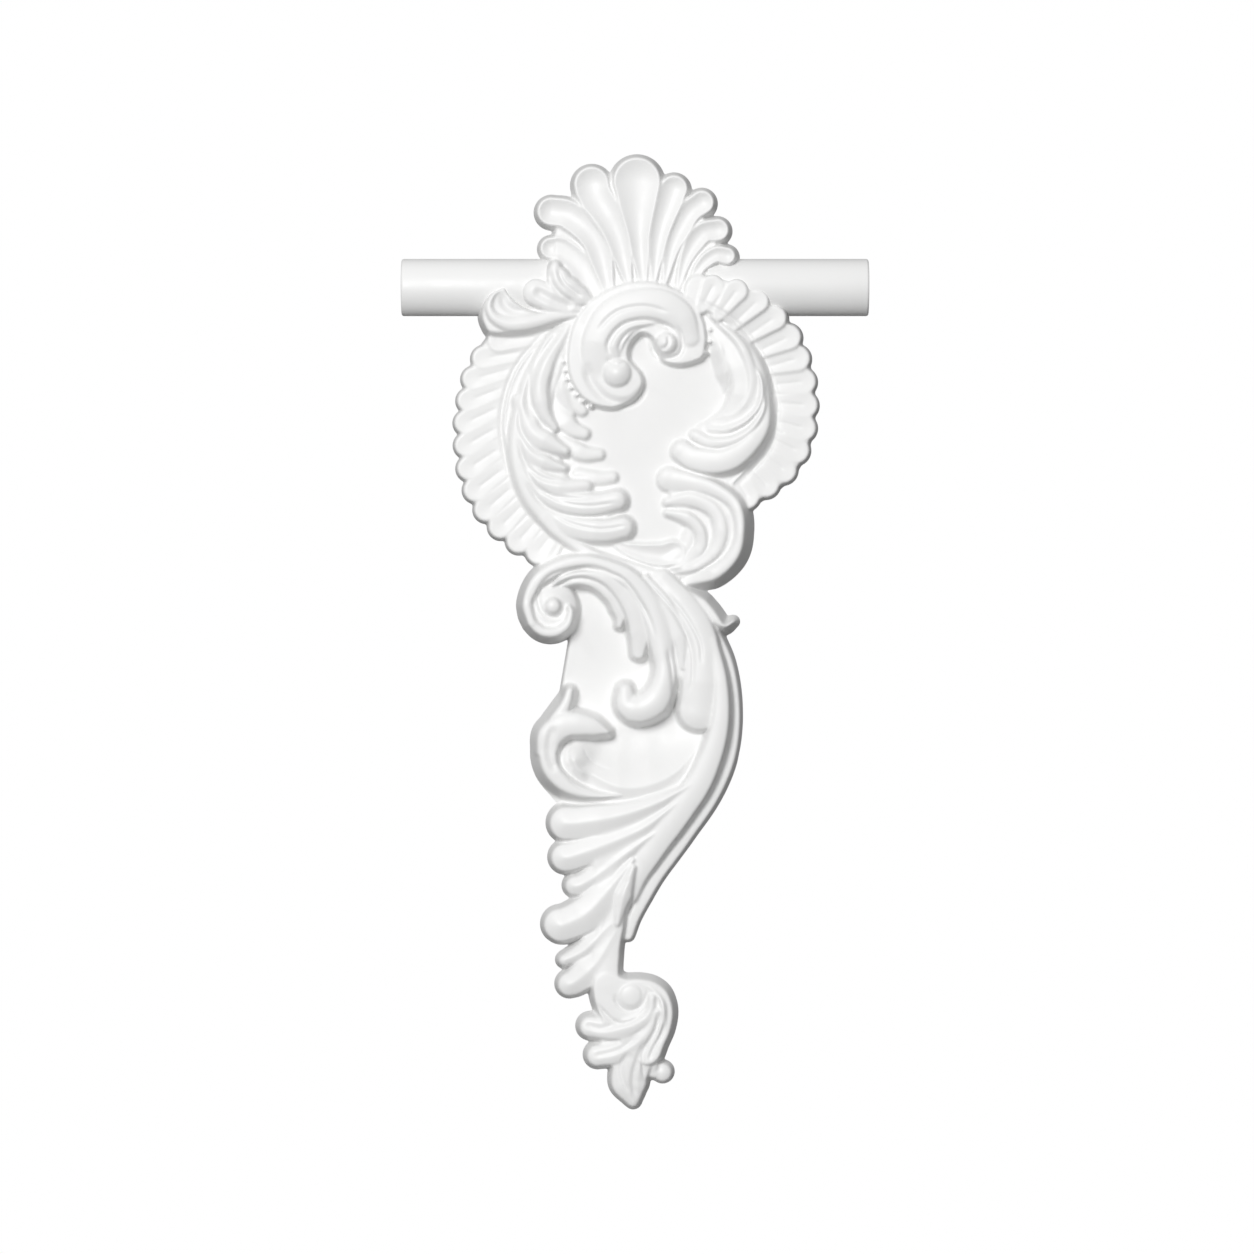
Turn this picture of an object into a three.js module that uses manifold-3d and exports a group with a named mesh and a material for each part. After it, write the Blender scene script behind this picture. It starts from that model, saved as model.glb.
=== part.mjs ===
// Scroll applique: a cast wall ornament on a length of half-round rail moulding.
// Millimetres. X runs along the rail, +Z is up and the wall is the plane y = 0, so the relief stands
// towards -Y. The origin is on the back, on the axis of the rail, halfway between its ends.

import * as THREE from "three";
import { mergeVertices } from "three/addons/utils/BufferGeometryUtils.js";
import Module from "manifold-3d";

// Driving sizes

const RAIL_LENGTH = 245;
const RAIL_GAP = 76;
const RAIL_WIDTH = 30;
const RAIL_DEPTH = 15.5;
const RAIL_EDGE = 1.2;
const RAIL_FACETS = 14;
const PLATE_DEPTH = 5.5;
const FIELD_DEPTH = 9.6;
const SHELL_BACK_DEPTH = 11.5;
const LOW_PLATE_DEPTH = 5;
const C_BODY_DEPTH = 17.5;
const BEAD_DEPTH = 10;
const BEAD_HALF_WIDTH = 2.2;
const LEFT_SCALLOPS = 12;
const RIGHT_SCALLOPS = 13;
const BALL_RADIUS = 6;
const STEP_LENGTH = 40;
const STEP_TURN = THREE.MathUtils.degToRad(50);
const CURVE_SAMPLES = 80;
const TIP_STATIONS = 2;

// Sections across a carved stroke: u is the share of the half width and v the share of the depth

const ROUND = [
  [-1, 0], [-0.78, 0.76], [-0.22, 1], [0.22, 1], [0.78, 0.76], [1, 0],
];
const RIDGE = [
  [-1, 0], [-0.8, 0.76], [0, 1], [0.8, 0.76], [1, 0],
];
const FLUTE = [
  [-1, 0], [-0.8, 1], [0, 0.8], [0.8, 1], [1, 0],
];
const GABLE = [
  [-1, 0], [0, 1], [1, 0],
];

const wasm = await Module();
wasm.setup();

// A closed geometry as a solid, with its foot brought exactly onto the wall plane.
function solidOf(geometry) {
  geometry.deleteAttribute("normal");
  geometry.deleteAttribute("uv");
  const position = geometry.attributes.position;
  for (let i = 0; i < position.count; i += 1) {
    if (Math.abs(position.getY(i)) < 1e-6) position.setY(i, 0);
  }
  const merged = mergeVertices(geometry, 1e-4);
  return new wasm.Manifold(
    new wasm.Mesh({
      numProp: 3,
      vertProperties: merged.attributes.position.array,
      triVerts: new Uint32Array(merged.index.array),
    }),
  );
}

function geometryOf(solid) {
  const mesh = solid.getMesh();
  const geometry = new THREE.BufferGeometry();
  geometry.setAttribute("position", new THREE.BufferAttribute(mesh.vertProperties, 3));
  geometry.setIndex(new THREE.BufferAttribute(mesh.triVerts, 1));
  geometry.computeVertexNormals();
  return geometry;
}

const splineOf = (points) => new THREE.SplineCurve(points.map(([x, z]) => new THREE.Vector2(x, z)));

// The value at share t of a list of values spread evenly along a stroke.
function along(values, t) {
  const place = t * (values.length - 1);
  const first = Math.min(Math.floor(place), values.length - 2);
  return THREE.MathUtils.lerp(values[first], values[first + 1], place - first);
}

// The stations of a stroke: closer together where its curve turns, then closing round its tip.
function stationsOf(curve, tipHalfWidth) {
  const length = curve.getLength();
  const tip = Math.min(tipHalfWidth / length, 0.4);
  const costs = [0];
  for (let i = 1; i <= CURVE_SAMPLES; i += 1) {
    const before = curve.getTangentAt(((1 - tip) * (i - 1)) / CURVE_SAMPLES);
    const after = curve.getTangentAt(((1 - tip) * i) / CURVE_SAMPLES);
    const turn = Math.acos(Math.min(1, before.dot(after)));
    costs.push(costs[i - 1] + ((1 - tip) * length) / CURVE_SAMPLES / STEP_LENGTH + turn / STEP_TURN);
  }
  const steps = Math.max(1, Math.round(costs.at(-1)));
  const stations = [];
  for (let i = 0, k = 0; i <= steps; i += 1) {
    while (k < CURVE_SAMPLES && costs[k] < (costs.at(-1) * i) / steps) k += 1;
    stations.push({ share: ((1 - tip) * k) / CURVE_SAMPLES, scale: 1 });
  }
  for (let i = 1; i <= TIP_STATIONS; i += 1) {
    const angle = (i / TIP_STATIONS) * THREE.MathUtils.degToRad(74);
    stations.push({ share: 1 - tip + tip * Math.sin(angle), scale: Math.cos(angle) });
  }
  return stations;
}

// A carved stroke: a straight extrusion of a section, laid along a curve on the wall and given the
// half width and the depth of each station. Its foot lies on the wall plane.
function stroke(path, wide, deep, section = ROUND) {
  const curve = splineOf(path);
  const stations = stationsOf(curve, wide.at(-1));
  const shape = new THREE.Shape(section.map(([u, v]) => new THREE.Vector2(u, v)));
  const geometry = new THREE.ExtrudeGeometry(shape, {
    depth: 1,
    steps: stations.length - 1,
    bevelEnabled: false,
  });
  const position = geometry.attributes.position;
  for (let i = 0; i < position.count; i += 1) {
    const { share, scale } = stations[Math.round(position.getZ(i) * (stations.length - 1))];
    const centre = curve.getPointAt(share);
    const tangent = curve.getTangentAt(share);
    const across = position.getX(i) * along(wide, share) * scale;
    const depth = position.getY(i) * along(deep, share) * (0.55 + 0.45 * scale);
    position.setXYZ(i, centre.x - tangent.y * across, -depth, centre.y + tangent.x * across);
  }
  return solidOf(geometry);
}

// A round boss: half of a lathe-turned cushion that stands on the wall plane.
function boss({ centre: [x, z], radius, depth }) {
  const profile = [
    [0, 0], [1, 0], [0.88, 0.72], [0.45, 1], [0, 1],
  ].map(([r, h]) => new THREE.Vector2(r * radius, h * depth));
  const geometry = new THREE.LatheGeometry(profile, 10);
  geometry.rotateX(Math.PI);
  geometry.translate(x, 0, z);
  return solidOf(geometry);
}

// A low plate of even depth inside a smooth closed outline.
function plate(outline, depth, divisions) {
  const closed = splineOf([...outline, outline[0]]);
  const shape = new THREE.Shape(closed.getSpacedPoints(divisions).slice(0, -1));
  const geometry = new THREE.ExtrudeGeometry(shape, { depth, bevelEnabled: false });
  geometry.rotateX(Math.PI / 2);
  return solidOf(geometry);
}

// One end of the half-round rail, cut off square with a small eased edge. Side is -1 at the left and
// 1 at the right, and the inner end is buried in the ornament.
function railEnd(side) {
  const shape = new THREE.Shape();
  const half = RAIL_WIDTH / 2;
  shape.moveTo(-half, 0);
  for (let i = 1; i < RAIL_FACETS; i += 1) {
    const angle = Math.PI - (Math.PI * i) / RAIL_FACETS;
    shape.lineTo(half * Math.cos(angle), RAIL_DEPTH * Math.sin(angle));
  }
  shape.lineTo(half, 0);
  const steps = 2;
  const geometry = new THREE.ExtrudeGeometry(shape, { depth: 1, steps, bevelEnabled: false });
  const position = geometry.attributes.position;
  const tip = (side * RAIL_LENGTH) / 2;
  const root = (side * RAIL_GAP) / 2;
  const stations = side < 0 ? [tip, tip + RAIL_EDGE, root] : [root, tip - RAIL_EDGE, tip];
  for (let i = 0; i < position.count; i += 1) {
    const x = stations[Math.round(position.getZ(i) * steps)];
    const ease = x === tip ? 1 - RAIL_EDGE / half : 1;
    position.setXYZ(i, x, -position.getY(i) * ease, position.getX(i) * ease);
  }
  return solidOf(geometry);
}

// A scalloped border: radial flutes between an inner and an outer curve, as high as the rise at each.
function scallops({ inner, outer, rise }, count) {
  const from = splineOf(inner);
  const to = splineOf(outer);
  const flutes = [];
  for (let i = 0; i < count; i += 1) {
    const share = (i + 0.5) / count;
    const root = from.getPointAt(share);
    const tip = to.getPointAt(share);
    const rootHalf = (0.58 * from.getLength()) / count;
    const tipHalf = (0.6 * to.getLength()) / count;
    const depth = along(rise, share);
    flutes.push(
      stroke(
        [
          [root.x, root.y],
          [(root.x + tip.x) / 2, (root.y + tip.y) / 2],
          [tip.x, tip.y],
        ],
        [rootHalf, tipHalf, tipHalf],
        [depth - 0.8, depth - 0.5, depth],
        FLUTE,
      ),
    );
  }
  return flutes;
}

const strokesOf = (table, section) =>
  table.map(({ path, wide, deep }) => stroke(path, wide, deep, section));

// The shell over the rail: flutes that fan out of the top of the C scroll

const SHELL = [
  { path: [[4.5, 0], [2, 26], [0.5, 70]], wide: [4.8, 8, 14.5], deep: [16.5, 16, 15] },
  {
    path: [[-3, 0], [-10, 28], [-21, 48], [-26, 64.5]],
    wide: [4, 7, 10.5, 11.5],
    deep: [16.5, 15.5, 15, 13.5],
  },
  {
    path: [[-10, 2], [-20, 26], [-34, 37.5], [-53, 41.5]],
    wide: [4, 8, 10, 9.5],
    deep: [16, 15, 14.5, 12.5],
  },
  { path: [[-14, 2], [-27, 14], [-38, 20.5], [-51.5, 21]], wide: [5, 7, 8, 7.5], deep: [15, 14, 13, 12] },
  {
    path: [[9.5, 0], [12.5, 26], [18, 44], [23.5, 60]],
    wide: [4, 5.6, 8, 9.5],
    deep: [16.5, 15.5, 15, 14],
  },
  {
    path: [[15, 0], [20, 22], [28, 38], [41.5, 49.5]],
    wide: [4, 5.4, 8, 8.5],
    deep: [16, 15, 14.5, 13.5],
  },
  {
    path: [[22, -3], [27, 15], [35, 27.5], [51, 31.5]],
    wide: [4, 5, 7.5, 8],
    deep: [16, 15, 14.5, 13.5],
  },
  {
    path: [[26, -5], [34, 10], [42, 16.5], [55, 15]],
    wide: [4, 5, 6.5, 7],
    deep: [15, 15.5, 16.5, 16.5],
  },
];
const SHELL_BACK = [
  [-43, 8], [-44, 20], [-42, 33], [-28, 45], [-13, 54], [0, 58], [12, 54], [24, 48], [34, 41], [41, 31],
  [45, 17], [38, 2], [22, -10], [0, -14], [-24, -10],
];

// The three side leaves under the left of the shell

const SIDE_LEAVES = [
  {
    path: [[-29, -12], [-42, -14], [-56, -16.5], [-70, -15.5]],
    wide: [3, 5.5, 9, 10.5],
    deep: [14, 15, 16, 16.5],
  },
  {
    path: [[-28, -13], [-44, -16.5], [-58, -19.5], [-70, -19.5], [-75.5, -12], [-71, -5]],
    wide: [3, 4, 6.5, 8, 6.5, 3.5],
    deep: [15, 16.5, 18.5, 19.5, 19.5, 18.5],
  },
  {
    path: [[-29, -11], [-41, -7.5], [-50, -2.5], [-54.5, 3.5]],
    wide: [3, 5.5, 7.5, 5.5],
    deep: [15, 17, 18, 17.5],
  },
  {
    path: [[-23, -8], [-31, -4], [-38, 2], [-41.5, 8], [-42, 14.5]],
    wide: [3, 5.5, 7, 6, 3.5],
    deep: [16, 18, 19, 19, 18],
  },
];

// The oval: a plate, a bead and a fluted border with scalloped ends

const BORDER = {
  left: {
    inner: [[-46, -22], [-62, -41], [-69, -60], [-70, -78], [-65, -98], [-53, -117], [-38, -131]],
    outer: [
      [-75, -25], [-89, -42], [-94.5, -63], [-95.5, -82], [-92.5, -104], [-84, -122], [-69.5, -137],
      [-50, -148.5],
    ],
    rise: [11, 9, 9, 9, 9, 9, 9, 9],
  },
  right: {
    inner: [[31, -9], [50, -20], [64, -37], [71, -55], [72, -68], [68, -84], [50, -104]],
    outer: [
      [38, 9], [66, 1], [87, -21], [95.5, -44], [97.5, -62], [94.5, -84], [84, -102], [71, -112],
      [56, -120],
    ],
    rise: [17.5, 18, 14, 10.5, 9, 9, 9, 9, 9],
  },
};
const OVAL = [
  [-2, 0], [46, 6], [64, -3], [83, -24], [91.5, -45], [93, -62], [90, -82], [81, -98], [68, -108],
  [54, -120], [44, -152], [8, -153], [-24, -147], [-49, -143], [-66, -133], [-80, -119], [-88.5, -103],
  [-91, -82], [-90.5, -63], [-86, -44], [-73, -26], [-30, -8],
];

// The field of the oval, inside the two beads
const FIELD = [
  [-2, -4], [31, -7], [50, -18], [65, -36], [72.5, -55], [73.5, -68], [69, -85], [57, -101],
  [52, -118], [44, -146], [10, -152], [-18, -147], [-40, -132], [-54, -118], [-66, -99], [-71, -78],
  [-70, -60], [-63, -41], [-47, -21], [-28, -10],
];

// The shoulder of the right border, where it climbs over the rail

const SHOULDER = {
  path: [[34, 0], [50, -3], [66, -12], [78, -25]],
  wide: [7, 9, 9, 7],
  deep: [15.7, 15.9, 13, 9.5],
};

// The left acanthus: a stem along the inside of the bead, with lobes and drops on its inner side

const LEFT_ACANTHUS = [
  {
    path: [[-36, -24], [-49, -48], [-53, -78], [-46, -103], [-30, -118], [-10, -121]],
    wide: [8, 14, 16, 16, 14, 11],
    deep: [12.5, 13, 13, 13, 13.5, 13.5],
  },
  {
    path: [[-30, -16], [-46, -34], [-57, -60], [-61.5, -84], [-55, -107], [-43, -122], [-22, -133]],
    wide: [4, 6, 7, 7, 7.5, 7.5, 5],
    deep: [14, 15, 15.5, 15.5, 15.5, 15, 13],
  },
  {
    path: [[-32, -17], [-44, -33], [-50, -50], [-48, -65], [-40, -78]],
    wide: [4, 7.5, 8, 7, 4.5],
    deep: [15, 17, 18, 18, 16],
  },
  {
    path: [[-31, -18], [-38, -33], [-40, -47], [-37, -60], [-32, -70]],
    wide: [3, 5, 6, 6, 4],
    deep: [14, 14.5, 15, 14.5, 12.5],
  },
  {
    path: [[-61, -62], [-53, -77], [-43, -83], [-31.5, -88]],
    wide: [6, 7.5, 7, 4.5],
    deep: [14.5, 17, 18, 16.5],
  },
  {
    path: [[-62, -76], [-54, -88], [-44, -93], [-33, -96.5]],
    wide: [6, 7, 6.5, 3.8],
    deep: [14.5, 17, 17.5, 15],
  },
  {
    path: [[-61, -90], [-51, -101], [-38, -105.5], [-20, -104]],
    wide: [6, 7.5, 7.5, 5],
    deep: [14.5, 17, 18, 16],
  },
  {
    path: [[-56, -103], [-41, -112.5], [-22, -114.5], [-1.5, -110.5]],
    wide: [6, 8, 8.5, 7.5],
    deep: [14.5, 17, 19, 18.5],
  },
  {
    path: [[-48, -117], [-35, -125], [-17, -127.5], [2, -125]],
    wide: [6, 8, 8.5, 8],
    deep: [14, 16.5, 19, 18.5],
  },
];
const DROPS = [
  { path: [[-38, -46], [-34, -57], [-26, -68.5]], wide: [5, 6, 4], deep: [11, 12.5, 11.5] },
  { path: [[-42, -62], [-34, -73.5], [-22.5, -78.5]], wide: [5, 6, 4], deep: [12, 13.5, 12.5] },
  { path: [[-38, -80], [-28, -86.5], [-14.5, -88.5]], wide: [4, 5.2, 3.8], deep: [12, 13, 12] },
  { path: [[-30, -98], [-19, -100], [-7.5, -99.5]], wide: [4, 4.6, 4], deep: [12, 12.5, 12] },
];

// The C scroll under the shell: one broad crowned body between its outline and the two volutes

const C_BODY = [
  [37, -28], [35.5, -20], [31, -10], [24, -3], [15, 1], [5, 3], [-5, 2], [-14, -2], [-22, -8],
  [-29, -17], [-32, -27], [-33, -40], [-31, -50], [-26, -58], [-20, -62.5], [-13, -64.5], [-7, -63.5],
  [0, -60], [4, -55], [5.5, -50], [4, -45], [0.5, -41], [-2, -37.5], [-2, -33], [0, -29], [4, -26],
  [8, -28], [10, -33], [13, -39], [18, -41.5], [24, -42], [30, -40], [35, -37],
];
const C_CROWN = {
  path: [
    [29, -27], [24, -16], [14, -11], [3, -11.5], [-8, -16], [-15, -25], [-18, -36], [-16, -48],
    [-8, -53],
  ],
  wide: [7, 9.5, 11.5, 12.5, 13.5, 14, 13.5, 12, 9.5],
  deep: [19, 20.5, 21, 21.5, 21.5, 21.5, 21, 20, 19],
};
const C_RIB = {
  path: [[23, -21], [13, -15.5], [2, -14.5], [-8, -19], [-14, -28], [-13, -39]],
  wide: [3, 3.4, 3.4, 3.4, 3.4, 3],
  deep: [21.5, 22.5, 23, 23, 23, 22],
};
const SMALL_VOLUTE = { centre: [16.5, -30], radius: 9.5, depth: 21.5 };
const BALL_VOLUTE = { centre: [-9, -45], radius: 10, depth: 23 };

// The right acanthus: ribs that turn round the inside of the bead and hook back to the middle

const RIGHT_ACANTHUS = [
  {
    path: [[36, -16], [54, -36], [60, -54], [54, -70], [41, -78], [28, -80]],
    wide: [5, 11, 13, 14, 13, 10],
    deep: [13, 15.5, 17, 17, 15, 12],
  },
  {
    path: [[32, -13], [42, -26], [47, -40], [47.5, -53], [42, -61.5], [33, -64]],
    wide: [4, 9, 12, 11, 7, 3.5],
    deep: [13.5, 15.5, 16.5, 16.5, 14.5, 11],
  },
  {
    path: [[36, -13], [54, -29], [61, -45], [60, -57], [53, -66.5], [40, -69.5]],
    wide: [3, 5, 6, 6, 5, 3.5],
    deep: [14, 17.5, 18.5, 18, 17, 13.5],
  },
  {
    path: [[60, -36], [66, -50], [65, -62], [58, -70.5], [48, -75], [35, -75]],
    wide: [3, 4.5, 5, 5, 5, 4],
    deep: [16, 19, 19.5, 19.5, 17.5, 13.5],
  },
  {
    path: [[65, -46], [67.5, -62], [62, -73.5], [52, -80.5], [40, -82], [27, -76]],
    wide: [3.5, 4.5, 5.5, 6, 6, 5],
    deep: [16, 19, 20, 19.5, 18, 14],
  },
  {
    path: [[69, -54], [68, -72], [58, -85], [46, -91.5], [32, -90.5], [18, -82.5]],
    wide: [4, 5.5, 8, 9.5, 9.5, 8],
    deep: [15, 18, 20, 19.5, 18, 15.5],
  },
];

// The hooked scroll under it, which closes the oval at the lower right

const HOOKED_SCROLL = [
  {
    path: [[20, -106], [38, -110], [47, -123], [43, -138], [27, -148], [10, -149]],
    wide: [7, 9, 12, 11, 9, 6],
    deep: [12, 15, 16.5, 15.5, 12, 9],
  },
  {
    path: [
      [18, -101], [30, -103], [42, -106.5], [52, -114], [55, -126], [52.5, -139], [43, -149],
      [24, -156],
    ],
    wide: [8.5, 7.5, 7, 7, 6.5, 7, 7, 4],
    deep: [14.5, 16.5, 18.5, 20, 20.5, 19.5, 17.5, 12],
  },
  {
    path: [[17, -113], [30, -111.5], [41, -117], [45, -127], [42, -138], [32, -146], [16, -150.5]],
    wide: [4.5, 7, 7, 7, 6.5, 5.5, 3],
    deep: [14, 16.5, 17.5, 18, 17, 15, 10.5],
  },
  {
    path: [[17, -118.5], [27, -121], [34, -128], [34, -137], [26, -144], [12, -148]],
    wide: [4, 6, 6, 6, 5, 3],
    deep: [14, 16.5, 16.5, 15.5, 12.5, 10],
  },
  {
    path: [[29, -128], [25, -138], [13, -144.5], [-2, -144.5]],
    wide: [5, 7, 6, 3],
    deep: [13, 12.5, 11, 8],
  },
];

// The lower scroll: a round volute, bands over the top of it and the two broad curled ends

const VOLUTE = { centre: [-45, -169], radius: 17.5, depth: 21.5 };
const LOWER_SCROLL = [
  {
    path: [
      [-53, -168], [-51, -156], [-42, -149.5], [-29, -146], [-15, -147], [-2, -153.5], [7, -165],
      [12, -180], [13, -195], [12, -208], [5, -217], [-12, -217],
    ],
    wide: [7, 7, 6.5, 6, 7, 8, 9, 10, 9.5, 11, 14, 12.5],
    deep: [19, 20.5, 21, 21, 21, 21, 20.5, 20, 20, 20.5, 20.5, 19.5],
  },
  {
    path: [
      [-47, -160], [-39, -153.5], [-29, -150.5], [-18, -152], [-9, -158], [-2, -168], [2, -180],
      [2.5, -197.5],
    ],
    wide: [3.5, 4.5, 5, 6, 7, 7.5, 8, 5.5],
    deep: [18.5, 20, 20, 20, 19, 18.5, 17.5, 15],
  },
  {
    path: [[-42, -158], [-30, -154.5], [-20, -156.5], [-12, -163], [-8, -172], [-8.5, -181]],
    wide: [3, 4.5, 5, 6, 6, 3.5],
    deep: [17.5, 18, 17.5, 17, 16, 14],
  },
  {
    path: [[14, -154], [26, -169], [34, -185], [35.5, -200], [34, -217], [30, -233.5]],
    wide: [8, 10, 11.5, 12, 12.5, 9.5],
    deep: [17, 18.5, 19.5, 20, 20, 18.5],
  },
  {
    path: [[6, -153], [16, -167], [23, -183], [24, -197], [22, -208]],
    wide: [5, 7, 7, 6, 4],
    deep: [18, 19.5, 19.5, 18.5, 16.5],
  },
];
const HORN = {
  path: [[26, -160], [38, -170], [46, -177.5], [54.5, -174]],
  wide: [5, 7.5, 6, 3],
  deep: [14, 15, 15, 14],
};
const LOW_PLATE = [
  [-35, -184], [-34, -164], [-38, -156], [-18, -150], [8, -160], [30, -190], [38, -228], [22, -256],
  [-8, -268], [-30, -264], [-42, -250], [-41, -222],
];

// The outer stem: a low ledge outside a raised rib, from the horn down to the neck

const OUTER_STEM = [
  {
    path: [
      [40, -178], [49, -198], [52.5, -222], [50, -246], [40.5, -268], [26, -289], [11, -309],
      [0.5, -328], [-5, -343.5],
    ],
    wide: [5, 4.5, 4.2, 4.2, 4.5, 4.5, 5, 5, 4],
    deep: [15, 15, 13, 11, 10, 10, 9, 9, 8],
  },
  {
    path: [[40, -186], [45, -208], [44, -232], [36, -255], [25, -272], [12, -290], [2, -306], [-5, -324]],
    wide: [5, 5.5, 6, 7, 8, 8, 7, 5],
    deep: [18, 19, 19, 18, 17, 16, 15, 12],
  },
];

// The bowl leaf at the left of it: a smooth hollow, a turned-over rim and a beak

const BOWL = {
  path: [[-30, -260], [-10, -265], [10, -261], [26, -250], [38, -232], [44, -214]],
  wide: [8, 22, 28, 24, 16, 8],
  deep: [13, 14.5, 15, 15, 15, 15],
};
const BOWL_LEAF = [
  {
    path: [
      [30, -250], [12, -262], [-10, -266.5], [-30, -264], [-43, -254], [-45.5, -240], [-40, -225],
      [-32.5, -208],
    ],
    wide: [2.5, 3, 3.5, 6, 8.5, 9, 8, 3.5],
    deep: [17.5, 17, 17, 17, 18, 19, 18, 14],
  },
  {
    path: [[-44, -238], [-37, -230], [-25, -228], [-12, -233]],
    wide: [6, 8.5, 8, 3.5],
    deep: [18, 19, 20, 17],
  },
];

// The lobes along the left of the stem, down to the neck

const STEM_LOBES = [
  {
    path: [[26, -262], [6, -276], [-13, -294], [-19, -314], [-22, -336], [-22, -356]],
    wide: [11, 17, 20, 17, 17, 14],
    deep: [14.5, 14, 13.5, 13, 12, 11],
  },
  {
    path: [[30, -260], [12, -270], [-8, -277], [-28, -280.5], [-47, -281.5]],
    wide: [3.5, 5, 7, 9.5, 11],
    deep: [17, 17, 17, 17, 15],
  },
  {
    path: [[22, -270], [5, -283], [-15, -292], [-32, -298], [-45.5, -300.5]],
    wide: [3.5, 5, 7, 8.5, 9],
    deep: [17, 17, 16, 16, 14],
  },
  {
    path: [[10, -286], [-5, -297], [-18, -307], [-28, -313], [-38, -314.5]],
    wide: [3.5, 4.5, 6, 7, 6.5],
    deep: [16, 16, 15, 14, 13],
  },
  {
    path: [[-1, -300], [-13, -315], [-25, -328], [-37, -334], [-48.5, -334]],
    wide: [4, 6.5, 9, 10, 9.5],
    deep: [15, 15, 16, 16, 14],
  },
  { path: [[-12, -333], [-26, -347], [-41.5, -354.5]], wide: [5.5, 7, 5], deep: [13, 13, 11] },
  {
    path: [[-10, -338], [-20, -354], [-30, -363], [-41.5, -368]],
    wide: [5.5, 8, 9, 7.5],
    deep: [13, 14, 14, 12],
  },
  { path: [[-1, -305], [-6, -320], [-9, -336.5]], wide: [4, 6.5, 3], deep: [16, 15, 12] },
  {
    path: [[-6, -322], [-13, -342], [-14, -358], [-6, -374]],
    wide: [5, 7, 8, 9],
    deep: [12, 12, 12, 13],
  },
];

// The finial: a curled head, three hanging lobes and a small ball

const FINIAL = [
  {
    path: [[-2, -364], [-4, -384], [-3, -400], [0, -418]],
    wide: [13, 18, 16, 10],
    deep: [11, 11, 11, 11],
  },
  {
    path: [
      [-13, -380], [-18, -370], [-8, -363.5], [6, -364], [16, -373], [16.5, -386], [11, -402],
      [2, -412],
    ],
    wide: [4, 6, 6.5, 7, 6.5, 6.5, 6, 5],
    deep: [12, 14, 15, 16, 17, 16, 14, 12],
  },
  {
    path: [[9, -372], [6, -382], [-8, -388.5], [-30, -386.5]],
    wide: [5, 5, 6, 7],
    deep: [17, 17, 16, 13],
  },
  {
    path: [[12, -379], [5, -392], [-9, -400.5], [-26.5, -403.5]],
    wide: [4, 5.5, 6.5, 7],
    deep: [17, 16, 15, 12],
  },
  {
    path: [[9, -386], [3, -398], [-3, -413], [-2, -422], [0, -430.5]],
    wide: [5, 7, 10.5, 10.5, 4],
    deep: [16, 15.5, 14.5, 13, 10],
  },
];
const HEAD = { centre: [1, -377], radius: 17, depth: 15 };
const EYE = { centre: [-1, -371.5], radius: 7, depth: 18 };
const BALL_CENTRE = [14.5, -411.5];

function ballWithNeck() {
  const [x, z] = BALL_CENTRE;
  const neck = stroke([[6, -405], [11, -410], [x, z]], [4, 3.5, 3.5], [10, 9, 9]);
  return neck.add(boss({ centre: BALL_CENTRE, radius: BALL_RADIUS, depth: 1.6 * BALL_RADIUS }));
}

function borderParts() {
  const { left, right } = BORDER;
  const bead = ({ inner: path }) =>
    stroke(path, path.map(() => BEAD_HALF_WIDTH), path.map(() => BEAD_DEPTH), RIDGE);
  return [
    plate(OVAL, PLATE_DEPTH, 40),
    bead(left),
    bead(right),
    stroke(SHOULDER.path, SHOULDER.wide, SHOULDER.deep),
    ...scallops(left, LEFT_SCALLOPS),
    ...scallops(right, RIGHT_SCALLOPS),
  ];
}

function scrollApplique() {
  const parts = [
    railEnd(-1),
    railEnd(1),
    ...borderParts(),
    plate(FIELD, FIELD_DEPTH, 26),
    plate(SHELL_BACK, SHELL_BACK_DEPTH, 24),
    ...strokesOf(SHELL, FLUTE),
    ...strokesOf(SIDE_LEAVES, RIDGE),
    ...strokesOf(LEFT_ACANTHUS, RIDGE),
    ...strokesOf(DROPS, RIDGE),
    plate(C_BODY, C_BODY_DEPTH, 44),
    ...strokesOf([C_CROWN, C_RIB], ROUND),
    boss(SMALL_VOLUTE),
    boss(BALL_VOLUTE),
    ...strokesOf(RIGHT_ACANTHUS, RIDGE),
    ...strokesOf(HOOKED_SCROLL, RIDGE),
    ...strokesOf(LOWER_SCROLL, ROUND),
    boss(VOLUTE),
    ...strokesOf([HORN], RIDGE),
    plate(LOW_PLATE, LOW_PLATE_DEPTH, 16),
    ...strokesOf(OUTER_STEM, ROUND),
    ...strokesOf([BOWL], GABLE),
    ...strokesOf(BOWL_LEAF, ROUND),
    ...strokesOf(STEM_LOBES, RIDGE),
    ...strokesOf(FINIAL, RIDGE),
    boss(HEAD),
    boss(EYE),
    ballWithNeck(),
  ];
  return parts.reduce((whole, part) => whole.add(part));
}

const applique = new THREE.Mesh(
  geometryOf(scrollApplique()),
  new THREE.MeshStandardMaterial({ color: 0xf0f0ee, roughness: 0.45, metalness: 0 }),
);
applique.name = "scroll_applique";

const group = new THREE.Group();
group.add(applique);

export default group;
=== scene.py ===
"""Scroll applique: the fine relief of the casting, its satin white paint and the studio round it."""

import math

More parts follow.
